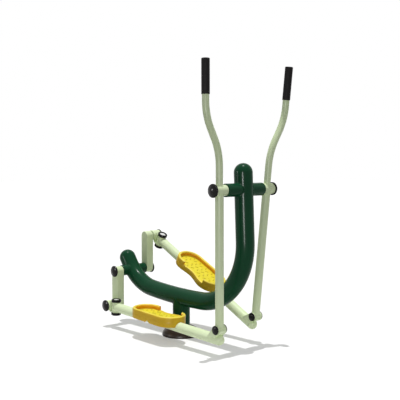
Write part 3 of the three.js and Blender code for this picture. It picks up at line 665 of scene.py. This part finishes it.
def makeCap(sideName, title, kind, body, place, solid):
    isCup = kind == "swivel"
    profile, start = cupProfile(capSizes[kind]) if isCup else domeProfile(capSizes[kind])
    shape = bmesh.new()
    addTurned(shape, profile, sideCount=56, look=lambda row: int(row >= start))
    finishes = [blackPlastic, lidPaintedReflection if isCup else capDisc]
    makePiece(f"{sideName}{title}", shape, finishes, body, place,
              [f"{sideName}_{solid}"], sharpAngle=50)


# Crankset

def makeCrankArm(sideName, side):
    look = {"radius": 30.5, "inner": 97, "outer": 151, "edge": 3, "edgeSteps": 5, "endSteps": 24}
    edge, steps = look["edge"], look["endSteps"]
    bottom, top = sorted((0, side * layout["crankRadius"]))
    low, high = sorted((side * look["inner"], side * look["outer"]))
    first = []
    last = []
    for out, up in arc(1, 0, quarterTurn, look["edgeSteps"]):
        radius, depth = look["radius"] - edge * (1 - up), edge * (1 - out)
        outline = arc(radius, 0, pi, steps, (0, top))
        outline += arc(radius, pi, pi, steps, (0, bottom))
        first.append([(x, low + depth, z) for x, z in outline])
        last.append([(x, high - depth, z) for x, z in outline])
    shape = bmesh.new()
    addRings(shape, first + last[::-1])
    makePale(sideName, "CrankArm", shape, "crankshaft", Matrix.Translation(rearAxle), "crank_arm")
    capPlace = towards(across * side, rearAxle + across * side * (look["outer"] + seatGap))
    makeCap(sideName, "CrankAxleCap", "axle", "crankshaft", capPlace, "crank_axle_cap")


for sideName, side in sides.items():
    makeCrankArm(sideName, side)
print("crankset made")


# Levers: hub, lower tube, bent upper tube, grip and lower eye

leverLook = {
    "hubRadius": 31, "hubLength": 88, "hubEdge": 2, "tubeRadius": 24, "tubeInHub": 22, "tubeInEye": 6,
    "eyeRadius": 25, "eyeWidth": 49, "eyeEdge": 1.5, "weld": 3,
    "handleRadius": 20, "bendStart": 135, "bendRadius": 320, "bendDegrees": 28, "outward": 102,
    "belowGripEnd": 8, "stationGap": 8, "handleSides": 40,
    "gripBottom": 519, "gripLength": 192, "gripRadius": 23, "gripBore": 20.4, "gripEdges": (1.6, 4.5),
    "recess": {"radius": 7, "floor": 6, "depth": 1.2, "edges": (1, 0.4)},
}


def handleStations(side):
    look = leverLook
    radius, bend = look["bendRadius"], radians(look["bendDegrees"])
    shift = 2 * radius * (1 - cos(bend))
    slope = (look["outward"] - shift) / sin(bend)
    bentTop = look["bendStart"] + 2 * radius * sin(bend) + slope * cos(bend)
    top = look["gripBottom"] + look["gripLength"] - look["belowGripEnd"]
    legs = layPath((0, 0), 90, [
        {"length": look["bendStart"]}, {"radius": radius, "turn": -look["bendDegrees"]},
        {"length": slope}, {"radius": radius, "turn": look["bendDegrees"]},
        {"length": top - bentTop},
    ])
    stations = []
    for out, height, heading in walkPath(legs, look["stationGap"]):
        normal = Vector((0, -side * sin(heading), cos(heading)))
        stations.append((Vector((0, side * out, height)), forward, normal, look["handleRadius"]))
    return stations


def gripProfile():
    look, recess = leverLook, leverLook["recess"]
    radius, length = look["gripRadius"], look["gripLength"]
    bottomEdge, topEdge = look["gripEdges"]
    recessEdge, floorEdge = recess["edges"]
    floorHeight = length - recess["depth"]
    return softened([
        (0, 0, 0), (look["gripBore"], 0, 0), (radius, 0, bottomEdge), (radius, length, topEdge),
        (recess["radius"], length, recessEdge), (recess["floor"], floorHeight, floorEdge),
        (0, floorHeight, 0)])


def makeLever(sideName, side, place):
    look = leverLook
    body = f"{sideName}_lever"
    half, wide = look["hubLength"] / 2, look["eyeWidth"] / 2
    drop = layout["leverLength"]

    hub = bmesh.new()
    addRod(hub, look["hubRadius"], -half, half, look["hubEdge"], towards(across))
    makePale(sideName, "LeverHub", hub, body, place, "lever_hub")
    capPlace = place @ towards(across * side, across * side * (half + seatGap))
    makeCap(sideName, "HubCap", "hub", body, capPlace, "hub_cap")

    tube = bmesh.new()
    start, end = -look["tubeInHub"], look["tubeInEye"] - drop
    addTurned(tube, [(0, start), (look["tubeRadius"], start), (look["tubeRadius"], end), (0, end)])
    makePale(sideName, "LeverTube", tube, body, place, "lever_tube")

    handle = bmesh.new()
    addSwept(handle, handleStations(side), look["handleSides"])
    makePale(sideName, "HandleTube", handle, body, place, "handle_tube")

    grip = bmesh.new()
    addTurned(grip, gripProfile())
    gripPlace = place @ Matrix.Translation((0, side * look["outward"], look["gripBottom"]))
    makePiece(f"{sideName}Grip", grip, [gripRubber], body, gripPlace,
              [f"{sideName}_grip"])

    eye = bmesh.new()
    addRod(eye, look["eyeRadius"], -wide, wide, look["eyeEdge"], towards(across), sideCount=48)
    makePale(sideName, "LeverEye", eye, body, place @ Matrix.Translation((0, 0, -drop)), "lever_eye")

    welds = bmesh.new()
    joints = [
        (Vector(), upward, "handleRadius", "hubRadius"),
        (Vector(), -upward, "tubeRadius", "hubRadius"),
        (Vector((0, 0, -drop)), upward, "tubeRadius", "eyeRadius"),
    ]
    for middle, way, branch, tube in joints:
        addWeld(welds, branchSpots(middle, way, across, look[branch], look[tube]), look["weld"])
    makePale(sideName, "LeverWelds", welds, body, place)


# Foot bars, along local X from the crank pin

barLook = {
    "radius": 30, "sleeveRadius": 27, "sleeveHeight": 56, "sleeveEdge": 1.5, "sunk": 1, "lugRoom": 29,
    "startAtLeast": 75.5, "startShare": 0.2, "stations": (110, 300, 600, 900), "sideCount": 64,
    "domeSteps": 12, "weld": 2.6,
}


def makeFootBar(sideName, place):
    look = barLook
    body = f"{sideName}_bar"
    reach, radius, sideCount = layout["footBarReach"], look["radius"], look["sideCount"]
    swivel, half, leastStart = layout["swivelForward"], look["sleeveHeight"] / 2, look["startAtLeast"]
    shape = bmesh.new()
    firstRing = []
    for y, z in circle(radius, sideCount):
        keepOff = look["sleeveRadius"] - look["sunk"] if abs(z) < half else look["lugRoom"]
        start = swivel + sqrt(max(keepOff ** 2 - y ** 2, 0))
        firstRing.append((max(start, leastStart), y, z))
    share = look["startShare"]
    rings = [[(leastStart, y * share, z * share) for x, y, z in firstRing], firstRing]
    for distance in (*look["stations"], reach):
        rings.append([(distance, y, z) for y, z in circle(radius, sideCount)])
    for small, out in arc(radius, 0, quarterTurn, look["domeSteps"])[1:]:
        rings.append([(reach + out, y, z) for y, z in circle(max(small, least), sideCount)])
    addRings(shape, rings)
    sleevePlace = Matrix.Translation((swivel, 0, 0))
    addRod(shape, look["sleeveRadius"], -half, half, look["sleeveEdge"], sleevePlace)
    makePale(sideName, "FootBar", shape, body, place, "foot_bar")

    weld = bmesh.new()
    spots = [(Vector((x, y, z)), Vector((-1, y / radius, z / radius))) for x, y, z in firstRing]
    addWeld(weld, spots, look["weld"])
    makePale(sideName, "SleeveWeld", weld, body, place)


def makeClevis(sideName, place):
    look = {"slot": 25, "ear": 6, "earRadius": 24, "edge": 1.2, "arcSteps": 40,
            "rearFoot": 66, "frontFoot": -4, "footHeight": 14,
            "ring": 28.7, "seat": 25.7, "seatSteps": 20, "ringSteps": 10,
            "cradleLift": 4, "cradleSunk": 1,
            "weld": 2.6, "weldOut": 28.9, "weldDrop": 1.4, "weldLean": 0.4, "weldSteps": 60}
    body = f"{sideName}_bar"
    rise = layout["pivotRise"]
    rear, front, foot = -look["rearFoot"], look["frontFoot"], look["footHeight"]

    # Where a straight edge from a foot touches the round top
    def tangent(start, radius, turn):
        fall = rise - foot
        return atan2(-fall, start) + turn * acos(radius / hypot(start, fall))

    frontAngle = tangent(front, look["earRadius"], 1)
    rearAngle = tangent(rear, look["earRadius"], -1) + tau
    outline = [(rear, foot), (front, foot)]
    outline += arc(look["earRadius"], frontAngle, rearAngle - frontAngle, look["arcSteps"], (0, rise))
    shape = bmesh.new()
    for low in (-look["slot"] - look["ear"], look["slot"]):
        addPlate(shape, outline, low, low + look["ear"], look["edge"])
    cradleEnd = look["seat"] / 2
    seatStart = -pi + acos(cradleEnd / look["seat"])
    cradle = arc(look["seat"], seatStart, -seatStart, look["seatSteps"], (0, rise))
    cradle += arc(look["ring"], 0, tangent(front, look["ring"], 1), look["ringSteps"], (0, rise))
    cradle += [(front, foot + look["cradleLift"]), (-cradleEnd, foot + look["cradleLift"])]
    half = look["slot"] + look["cradleSunk"]
    addPlate(shape, cradle, -half, half, 0)
    clevisPlace = place @ Matrix.Translation((layout["footBarReach"], 0, 0))
    makePale(sideName, "Clevis", shape, body, clevisPlace, "clevis")

    welds = bmesh.new()
    for way in (-1, 1):
        spots = []
        for step in range(look["weldSteps"] + 1):
            along = rear + (front - rear) * step / look["weldSteps"]
            point = Vector((along, way * look["weldOut"], foot - look["weldDrop"]))
            spots.append((point, Vector((0, way, look["weldLean"]))))
        addWeld(welds, spots, look["weld"], closedRun=False)
    makePale(sideName, "ClevisWelds", welds, body, clevisPlace)

    outer = look["slot"] + look["ear"] + seatGap
    for title, way in (("Outer", sides[sideName]), ("Inner", -sides[sideName])):
        capPlace = place @ towards(across * way, (layout["footBarReach"], way * outer, rise))
        makeCap(sideName, f"Pivot{title}Cap", "pivot", body, capPlace, f"pivot_cap_{title.lower()}")


# Knuckle on the crank pin: sleeve, cheek and the two lugs round the swivel sleeve

def makeKnuckle(sideName, side, place):
    look = {"inner": -35.8, "outer": 30.2, "radius": 33, "sleeveEdge": 2,
            "cheek": (24, 42), "halfWidth": 20, "cheekEdge": 1.6,
            "lugRadius": 27, "lug": (28.3, 34.3), "lugEdge": 1, "lugSteps": 24}
    body = f"{sideName}_knuckle"
    swivel, wide = layout["swivelForward"], look["halfWidth"]
    shape = bmesh.new()
    low, high = sorted((side * look["inner"], side * look["outer"]))
    addRod(shape, look["radius"], low, high, look["sleeveEdge"], towards(across))
    back, front = look["cheek"]
    lugLow, lugHigh = look["lug"]
    cheek = [(back, -lugHigh), (front, -lugHigh), (front, lugHigh), (back, lugHigh)]
    addPlate(shape, cheek, -wide, wide, look["cheekEdge"])
    outline = arc(look["lugRadius"], -quarterTurn, pi, look["lugSteps"], (swivel, 0))
    outline = [(back, -wide)] + outline + [(back, wide)]
    lie = Matrix.Rotation(quarterTurn, 4, "X")
    for low, high in ((-lugHigh, -lugLow), (lugLow, lugHigh)):
        addPlate(shape, outline, low, high, look["lugEdge"], lie)
    makePale(sideName, "Knuckle", shape, body, place, "knuckle")

    pinCap = place @ towards(across * side, across * side * (look["outer"] + seatGap))
    makeCap(sideName, "CrankPinCap", "axle", body, pinCap, "crank_pin_cap")
    for title, way in (("Top", 1), ("Bottom", -1)):
        spot = place @ towards(upward * way, (swivel, 0, way * (lugHigh + seatGap)))
        makeCap(sideName, f"Swivel{title}Cap", "swivel", body, spot, f"swivel_cap_{title.lower()}")


# Pedals: a moulded sole with a skirt, a tread with raised bars, and a rim open at the inner waist

pedalLook = {
    "heel": 303, "length": 401, "heelRadius": 90, "toeRadius": 95, "waist": 17,
    "arcSteps": 36, "waistSteps": 44, "sideSteps": 12,
    "skirtBottom": 2, "skirtWall": 6, "skirtEdge": 0.8,
    "underTread": 30.3, "treadTop": 35.3, "barRoom": 30.5,
    "notch": 204, "notchHalf": 19, "notchHeight": 16, "notchRows": 2, "notchRoom": 3, "notchClear": 4,
    "notchStops": (-1.05, -1, -0.5, 0, 0.5, 1, 1.05),
    "lip": 37.3, "rimWidth": 13, "rimTop": 63, "rimSunk": 1.5, "rimProud": 0.25, "rimLean": 3,
    "railRadius": 9.5, "railTurn": 235, "railSteps": 14, "endSteps": 6, "gapStart": 115, "gapEnd": 325,
    "footCurve": [(0.8, 0), (0.2, 0.4), (0, 1.2)],  # inset, height over the skirt's bottom
    "lipCurve": [(0, -1.6), (0.5, -0.5), (1.6, 0)],  # inset, height over the lip
    "lipInner": [(1.5, 0), (0.4, -0.4)],  # how far short of the rim's width, height over the lip
    # Faces that point up less than flatFrom get the painted-shade finishes.
    "flatFrom": 0.6,  # a face that points up less than this is a side
    "boltInset": 110, "plug": [(0, 0, 0), (8.5, 0, 0), (8.5, 0.9, 0.4), (5.6, 2.2, 0.8), (0, 2.4, 0)],
}
treadBars = {
    "rowGap": 31, "columnGap": 37, "columns": 4, "heelGap": 8, "margin": 28, "boltRoom": 15,
    "length": 25, "width": 8, "height": 2.2, "lean": 34, "endSteps": 5,
    "levels": [(-0.6, 1), (0.45, 0.94), (0.85, 0.72), (1, 0.35)],  # shares of the height and the width
}
# The pedal is one yellow plastic. Its rim tops carry a painted highlight, and its outer and inner walls
# painted shade, as separate finishes.
pedalFinishes = [rimYellowPaintedHighlight, treadPlastic, barPlastic, skirtPaintedShade, insidePaintedShade]
rimHighlightFinish, treadFinish, barFinish, skirtShadeFinish, insideShadeFinish = range(5)
heelEnd = pedalLook["heel"]
toeEnd = heelEnd + pedalLook["length"]
soleMiddle = Vector((heelEnd + pedalLook["length"] / 2, 0, 0))
notchPlace = heelEnd + pedalLook["notch"]
boltPlaces = (heelEnd + pedalLook["boltInset"], toeEnd - pedalLook["boltInset"])


# The sole's outline in local X and Y, set in by an inset
def soleOutline(side, inset):
    look = pedalLook
    heelRadius, toeRadius = look["heelRadius"] - inset, look["toeRadius"] - inset
    heelCentre, toeCentre = heelEnd + look["heelRadius"], toeEnd - look["toeRadius"]
    heel = arc(heelRadius, quarterTurn, pi, look["arcSteps"], (heelCentre, 0))
    toe = arc(toeRadius, -quarterTurn, pi, look["arcSteps"], (toeCentre, 0))
    waist = []
    for step in range(1, look["waistSteps"]):
        share = step / look["waistSteps"]
        half = heelRadius + (toeRadius - heelRadius) * share
        pinch = look["waist"] * (1 - cos(tau * share)) / 2
        waist.append((heelCentre + (toeCentre - heelCentre) * share, pinch - half))
    points = [Vector((x, side * y, 0)) for x, y in heel + waist + toe]
    # The straight outboard side, with points of its own for the notch in the skirt
    start, end, steps = points[-1], points[0], look["sideSteps"]
    stops = [start.x + (end.x - start.x) * step / steps for step in range(1, steps)]
    stops = [x for x in stops if abs(x - notchPlace) > look["notchHalf"] + look["notchClear"]]
    stops += [notchPlace + look["notchHalf"] * share for share in look["notchStops"]]
    for x in sorted(stops, reverse=True):
        points.append(start.lerp(end, (start.x - x) / (start.x - end.x)))
    return points


# The skirt, tread and low lip, as rows round the outline, each with its inset and height
def addSole(shape, side):
    look = pedalLook
    wall, edge = look["skirtWall"], look["skirtEdge"]
    bottom, under = look["skirtBottom"], look["underTread"]
    rows = [(wall, under), (wall, bottom + edge), (wall - edge, bottom)]
    rows += [(inset, bottom + rise) for inset, rise in look["footCurve"]]
    rows.append((0, bottom + look["notchHeight"] + look["notchRoom"]))
    rows += [(inset, look["lip"] + rise) for inset, rise in look["lipCurve"]]
    rows += [(look["rimWidth"] - short, look["lip"] + rise) for short, rise in look["lipInner"]]
    rows.append((look["rimWidth"], look["treadTop"]))
    rings = []
    for inset, height in rows:
        ring = []
        for point in soleOutline(side, inset):
            z = height
            fromNotch = abs(point.x - notchPlace) / look["notchHalf"]
            if point.y * side > 0 and fromNotch < 1 and height < bottom + look["notchRows"]:
                z += look["notchHeight"] * (1 - fromNotch)
            if abs(point.y) < look["barRoom"] and height < under:
                z = max(z, min(sqrt(look["barRoom"] ** 2 - point.y ** 2), under))
            ring.append((point.x, point.y, z))
        rings.append(ring)
    addRings(shape, rings)
    shape.faces.ensure_lookup_table()
    shape.faces[-1].material_index = treadFinish


# A rounded wall along the outline, from one end of the gap at the waist round to the other
def addRim(shape, side):
    look = pedalLook
    line = soleOutline(side, look["rimWidth"] / 2)

    def inGap(number):
        point = line[number]
        return point.y * side < 0 and look["gapStart"] < point.x - heelEnd < look["gapEnd"]

    first = next(number for number in range(len(line)) if inGap(number - 1) and not inGap(number))
    order = list(range(first, len(line))) + list(range(first))
    run = [line[number] for number in order if not inGap(number)]
    half, rail = look["rimWidth"] / 2, look["railRadius"]
    outer, bottom = -half - look["rimProud"], look["treadTop"] - look["rimSunk"]
    shoulder = look["rimTop"] - rail
    section = [(outer, bottom), (outer, shoulder)]
    railTurn = -radians(look["railTurn"])
    section += arc(rail, pi, railTurn, look["railSteps"], (outer + rail, shoulder))[1:]
    section.append((half - look["rimLean"], bottom))

    def wallRing(point, sideWay, squeeze):
        return [point + sideWay * (offset * squeeze) + upward * height for offset, height in section]

    wall = []
    closing = arc(1, 0, quarterTurn, look["endSteps"])[1:]
    ending = [(half * out, max(share, least)) for share, out in closing]
    for step, point in enumerate(run):
        ahead, behind = run[min(step + 1, len(run) - 1)], run[max(step - 1, 0)]
        heading = (ahead - behind).normalized()
        sideWay = heading.cross(upward)
        if (soleMiddle - point).dot(sideWay) <= 0:
            sideWay = -sideWay
        if step == 0:
            wall += [wallRing(point - heading * out, sideWay, share) for out, share in ending[::-1]]
        wall.append(wallRing(point, sideWay, 1))
        if step == len(run) - 1:
            wall += [wallRing(point + heading * out, sideWay, share) for out, share in ending]
    addRings(shape, wall)


# Raised bars on the tread, in staggered rows that lean one way and then the other
def addTreadBars(shape, side):
    look = treadBars
    border = soleOutline(side, look["margin"])
    room = look["boltRoom"]
    row = 0
    along = heelEnd + look["margin"] + look["heelGap"]
    while along < toeEnd - look["margin"]:
        lean = radians(look["lean"] if row % 2 else -look["lean"]) + quarterTurn
        shift = look["columnGap"] / 2 if row % 2 else 0
        for column in range(-look["columns"], look["columns"] + 1):
            spot = Vector((along, column * look["columnGap"] + shift, 0))
            bolted = any(abs(spot.x - bolt) < room and abs(spot.y) < room for bolt in boltPlaces)
            if isInside(spot, border) and not bolted:
                addBar(shape, spot + upward * pedalLook["treadTop"], lean)
        along += look["rowGap"]
        row += 1


def isInside(spot, border):
    inside = False
    for first, second in zip(border, border[1:] + border[:1]):
        if (first.y > spot.y) != (second.y > spot.y):
            crossing = first.x + (spot.y - first.y) / (second.y - first.y) * (second.x - first.x)
            if spot.x < crossing:
                inside = not inside
    return inside


# One raised bar: a low rounded pill
def addBar(shape, spot, lean):
    look = treadBars
    wide = look["width"] / 2
    half = look["length"] / 2 - wide
    turn = Matrix.Rotation(lean, 3, "Z")
    rings = []
    for level, spread in look["levels"]:
        base = spot + upward * look["height"] * level
        ring = []
        for end, start in ((half, -quarterTurn), (-half, quarterTurn)):
            for x, y in arc(wide * spread, start, pi, look["endSteps"], (end, 0)):
                ring.append(base + turn @ Vector((x, y, 0)))
        rings.append(ring)
    addRings(shape, rings, look=lambda row: barFinish)


def makePedal(sideName, side, place):
    body = f"{sideName}_bar"
    shape = bmesh.new()
    addSole(shape, side)
    addRim(shape, side)
    bmesh.ops.recalc_face_normals(shape, faces=shape.faces)
    # Sideways faces of the sole and rim get painted shade: orange where they face in, darker amber where
    # they face out. Faces that point up keep the rim yellow with its painted highlight.
    for face in shape.faces:
        face.normal_update()
        if face.material_index == rimHighlightFinish and face.normal.z < pedalLook["flatFrom"]:
            inward = soleMiddle - face.calc_center_median()
            inside = face.normal.x * inward.x + face.normal.y * inward.y > 0
            face.material_index = insideShadeFinish if inside else skirtShadeFinish
    addTreadBars(shape, side)
    makePiece(f"{sideName}Pedal", shape, pedalFinishes, body, place,
              [f"{sideName}_pedal"], sharpAngle=35)

    plugs = bmesh.new()
    for bolt in boltPlaces:
        plugPlace = Matrix.Translation((bolt, 0, pedalLook["treadTop"]))
        addTurned(plugs, softened(pedalLook["plug"], 3), plugPlace, sideCount=28)
    makePiece(f"{sideName}PedalPlugs", plugs, [treadPlastic], body, place)


for sideName, side in sides.items():
    leverPlace, barPlace = restPlaces(side)
    makeLever(sideName, side, leverPlace)
    makeFootBar(sideName, barPlace)
    makeClevis(sideName, barPlace)
    makePedal(sideName, side, barPlace)
    makeKnuckle(sideName, side, barPlace)
    print(sideName, "lever, foot bar, pedal and knuckle made")


# Hidden fixings stay as the frame gives them: base, bolts, shafts, bearings, bushes and pins

keptLook = {"smoothBelow": 34, "bevel": 0.0006, "bevelSteps": 2, "bevelFrom": 45}
keptFinishes = {"green_paint": greenPaint, "bare_steel": bareSteel, "bush_plastic": bushPlastic}
slots = {row["node"]: row["material_slot"] for row in frame["record"]["subparts"]}


def finishKept(node, piece):
    piece.data.materials.clear()
    piece.data.materials.append(keptFinishes[slots[node]])
    piece.data.polygons.foreach_set("use_smooth", [True] * len(piece.data.polygons))
    piece.data.set_sharp_from_angle(angle=radians(keptLook["smoothBelow"]))
    soft = piece.modifiers.new("softEdges", "BEVEL")
    soft.width = keptLook["bevel"]
    soft.segments = keptLook["bevelSteps"]
    soft.limit_method = "ANGLE"
    soft.angle_limit = radians(keptLook["bevelFrom"])


for node, piece in frame["nodes"].items():
    if not piece.hide_render:
        finishKept(node, piece)
print("kept nodes finished")


# Floor, light and camera

floorLook = {
    "half": 30, "drop": 0.0004, "white": 0.95, "lift": 0.30,
    "underLight": {"light": (0.75, 0.10), "reach": (0.5, 1.7), "stretch": (0.8, 1.0, 1.0)},
}


def makeFloor():
    look, half = floorLook, floorLook["half"]
    corners = ((-half, -half), (half, -half), (half, half), (-half, half))
    mesh = bpy.data.meshes.new("floor")
    mesh.from_pydata([(x, y, -look["drop"]) for x, y in corners], [], [(0, 1, 2, 3)])
    floor = bpy.data.objects.new("floor", mesh)
    bpy.context.scene.collection.objects.link(floor)
    finish = bpy.data.materials.new("floorPaper")
    finish.use_nodes = True
    tree = finish.node_tree
    tree.nodes.remove(tree.nodes["Principled BSDF"])
    pale = addNode(tree, "BsdfDiffuse", {"Color": (look["white"],) * 3 + (1,)})
    glow = addNode(tree, "Emission", {})
    dim = addNode(tree, "BsdfDiffuse", {"Color": underLight(tree, look["underLight"])})
    lifted = blendShaders(tree, look["lift"], pale.outputs["BSDF"], glow.outputs["Emission"])
    chosen = blendShaders(tree, seenFactor(tree), dim.outputs["BSDF"], lifted)
    tree.links.new(chosen, tree.nodes["Material Output"].inputs["Surface"])
    mesh.materials.append(finish)


def blendShaders(tree, factor, first, second):
    mix = addNode(tree, "MixShader", {"Fac": factor})
    feed(tree, mix.inputs[1], first)
    feed(tree, mix.inputs[2], second)
    return mix.outputs["Shader"]


# How much light the floor sends up: most from under the machine, less from far off
def underLight(tree, look):
    place = addNode(tree, "TexCoord", {}).outputs["Object"]
    squeezed = addNode(tree, "Mapping", {"Vector": place, "Scale": look["stretch"]}).outputs["Vector"]
    reach = tree.nodes.new("ShaderNodeVectorMath")
    reach.operation = "LENGTH"
    feed(tree, reach.inputs[0], squeezed)
    return spreadBetween(tree, reach.outputs["Value"], look["reach"], look["light"])


# 1 for what the camera, a reflection or clear material sees, 0 for soft light
def seenFactor(tree):
    path = tree.nodes.new("ShaderNodeLightPath")
    total = path.outputs["Is Camera Ray"]
    for other in ("Is Glossy Ray", "Is Transmission Ray"):
        add = tree.nodes.new("ShaderNodeMath")
        add.operation = "MAXIMUM"
        feed(tree, add.inputs[0], total)
        feed(tree, add.inputs[1], path.outputs[other])
        total = add.outputs["Value"]
    return total


lightLook = {
    "sky": 0.40,
    "sun": {"strength": 2.4, "angle": 0.4, "travel": (7, -17, -924)},
    "aim": (0.2, 0, 0),  # the lamps stand round this point
    "boxes": {
        "stripBox": {"power": 185, "size": (0.7, 1.0), "azimuth": 39, "height": 0.85, "use": "gloss"},
        "fillBox": {"power": 21, "size": (2.2, 1.8), "azimuth": 55, "height": 0.9, "use": "body"},
        "glintBox": {"power": 50, "size": (0.8, 0.9), "azimuth": -30, "height": 1.45, "use": "gloss"},
    },
    "boxDistance": 4.6,
}
cameraLook = {
    "place": (3.3777, -2.9452, 1.0875), "azimuth": 47.42, "up": 3.11, "lens": 65.07, "sensor": 36,
}


# The direction out from the machine. The azimuth runs from the right side towards the front.
def outFrom(azimuth, up=0):
    azimuth, up = radians(azimuth), radians(up)
    return Vector((sin(azimuth) * cos(up), -cos(azimuth) * cos(up), sin(up)))


# Links a lamp or the camera, so that it looks one way from its place
def addFacing(name, data, way, place=(0, 0, 0)):
    made = bpy.data.objects.new(name, data)
    made.rotation_mode = "QUATERNION"
    made.rotation_quaternion = Vector(way).to_track_quat("-Z", "Y")
    made.location = place
    bpy.context.scene.collection.objects.link(made)
    return made


# An upright light box that faces the machine, for gloss or for the colours alone
def makeBox(name, look):
    box = bpy.data.lights.new(name, "AREA")
    box.shape = "RECTANGLE"
    box.size, box.size_y = look["size"]
    box.energy = look["power"]
    out = outFrom(look["azimuth"])
    place = out * lightLook["boxDistance"] + Vector(lightLook["aim"]) + upward * look["height"]
    made = addFacing(name, box, -out, place)
    made.visible_glossy = look["use"] == "gloss"
    made.visible_diffuse = look["use"] == "body"


def makeLight():
    world = bpy.data.worlds.new("softSky")
    bpy.context.scene.world = world
    world.use_nodes = True
    tree = world.node_tree
    sky = tree.nodes["Background"]
    sky.inputs["Color"].default_value = (1, 1, 1, 1)
    strength = spreadBetween(tree, seenFactor(tree), (0, 1), (lightLook["sky"], 1))
    tree.links.new(strength, sky.inputs["Strength"])

    sun = bpy.data.lights.new("overheadSun", "SUN")
    sun.energy = lightLook["sun"]["strength"]
    sun.angle = radians(lightLook["sun"]["angle"])
    addFacing("overheadSun", sun, lightLook["sun"]["travel"])
    for name, look in lightLook["boxes"].items():
        makeBox(name, look)


def makeCamera():
    lens = bpy.data.cameras.new("camera")
    lens.lens = cameraLook["lens"]
    lens.sensor_width = cameraLook["sensor"]
    lens.sensor_fit = "HORIZONTAL"
    out = outFrom(cameraLook["azimuth"], cameraLook["up"])
    bpy.context.scene.camera = addFacing("camera", lens, -out, cameraLook["place"])


makeFloor()
makeLight()
makeCamera()
bpy.context.scene.view_settings.view_transform = "Standard"
print("floor, light and camera made")
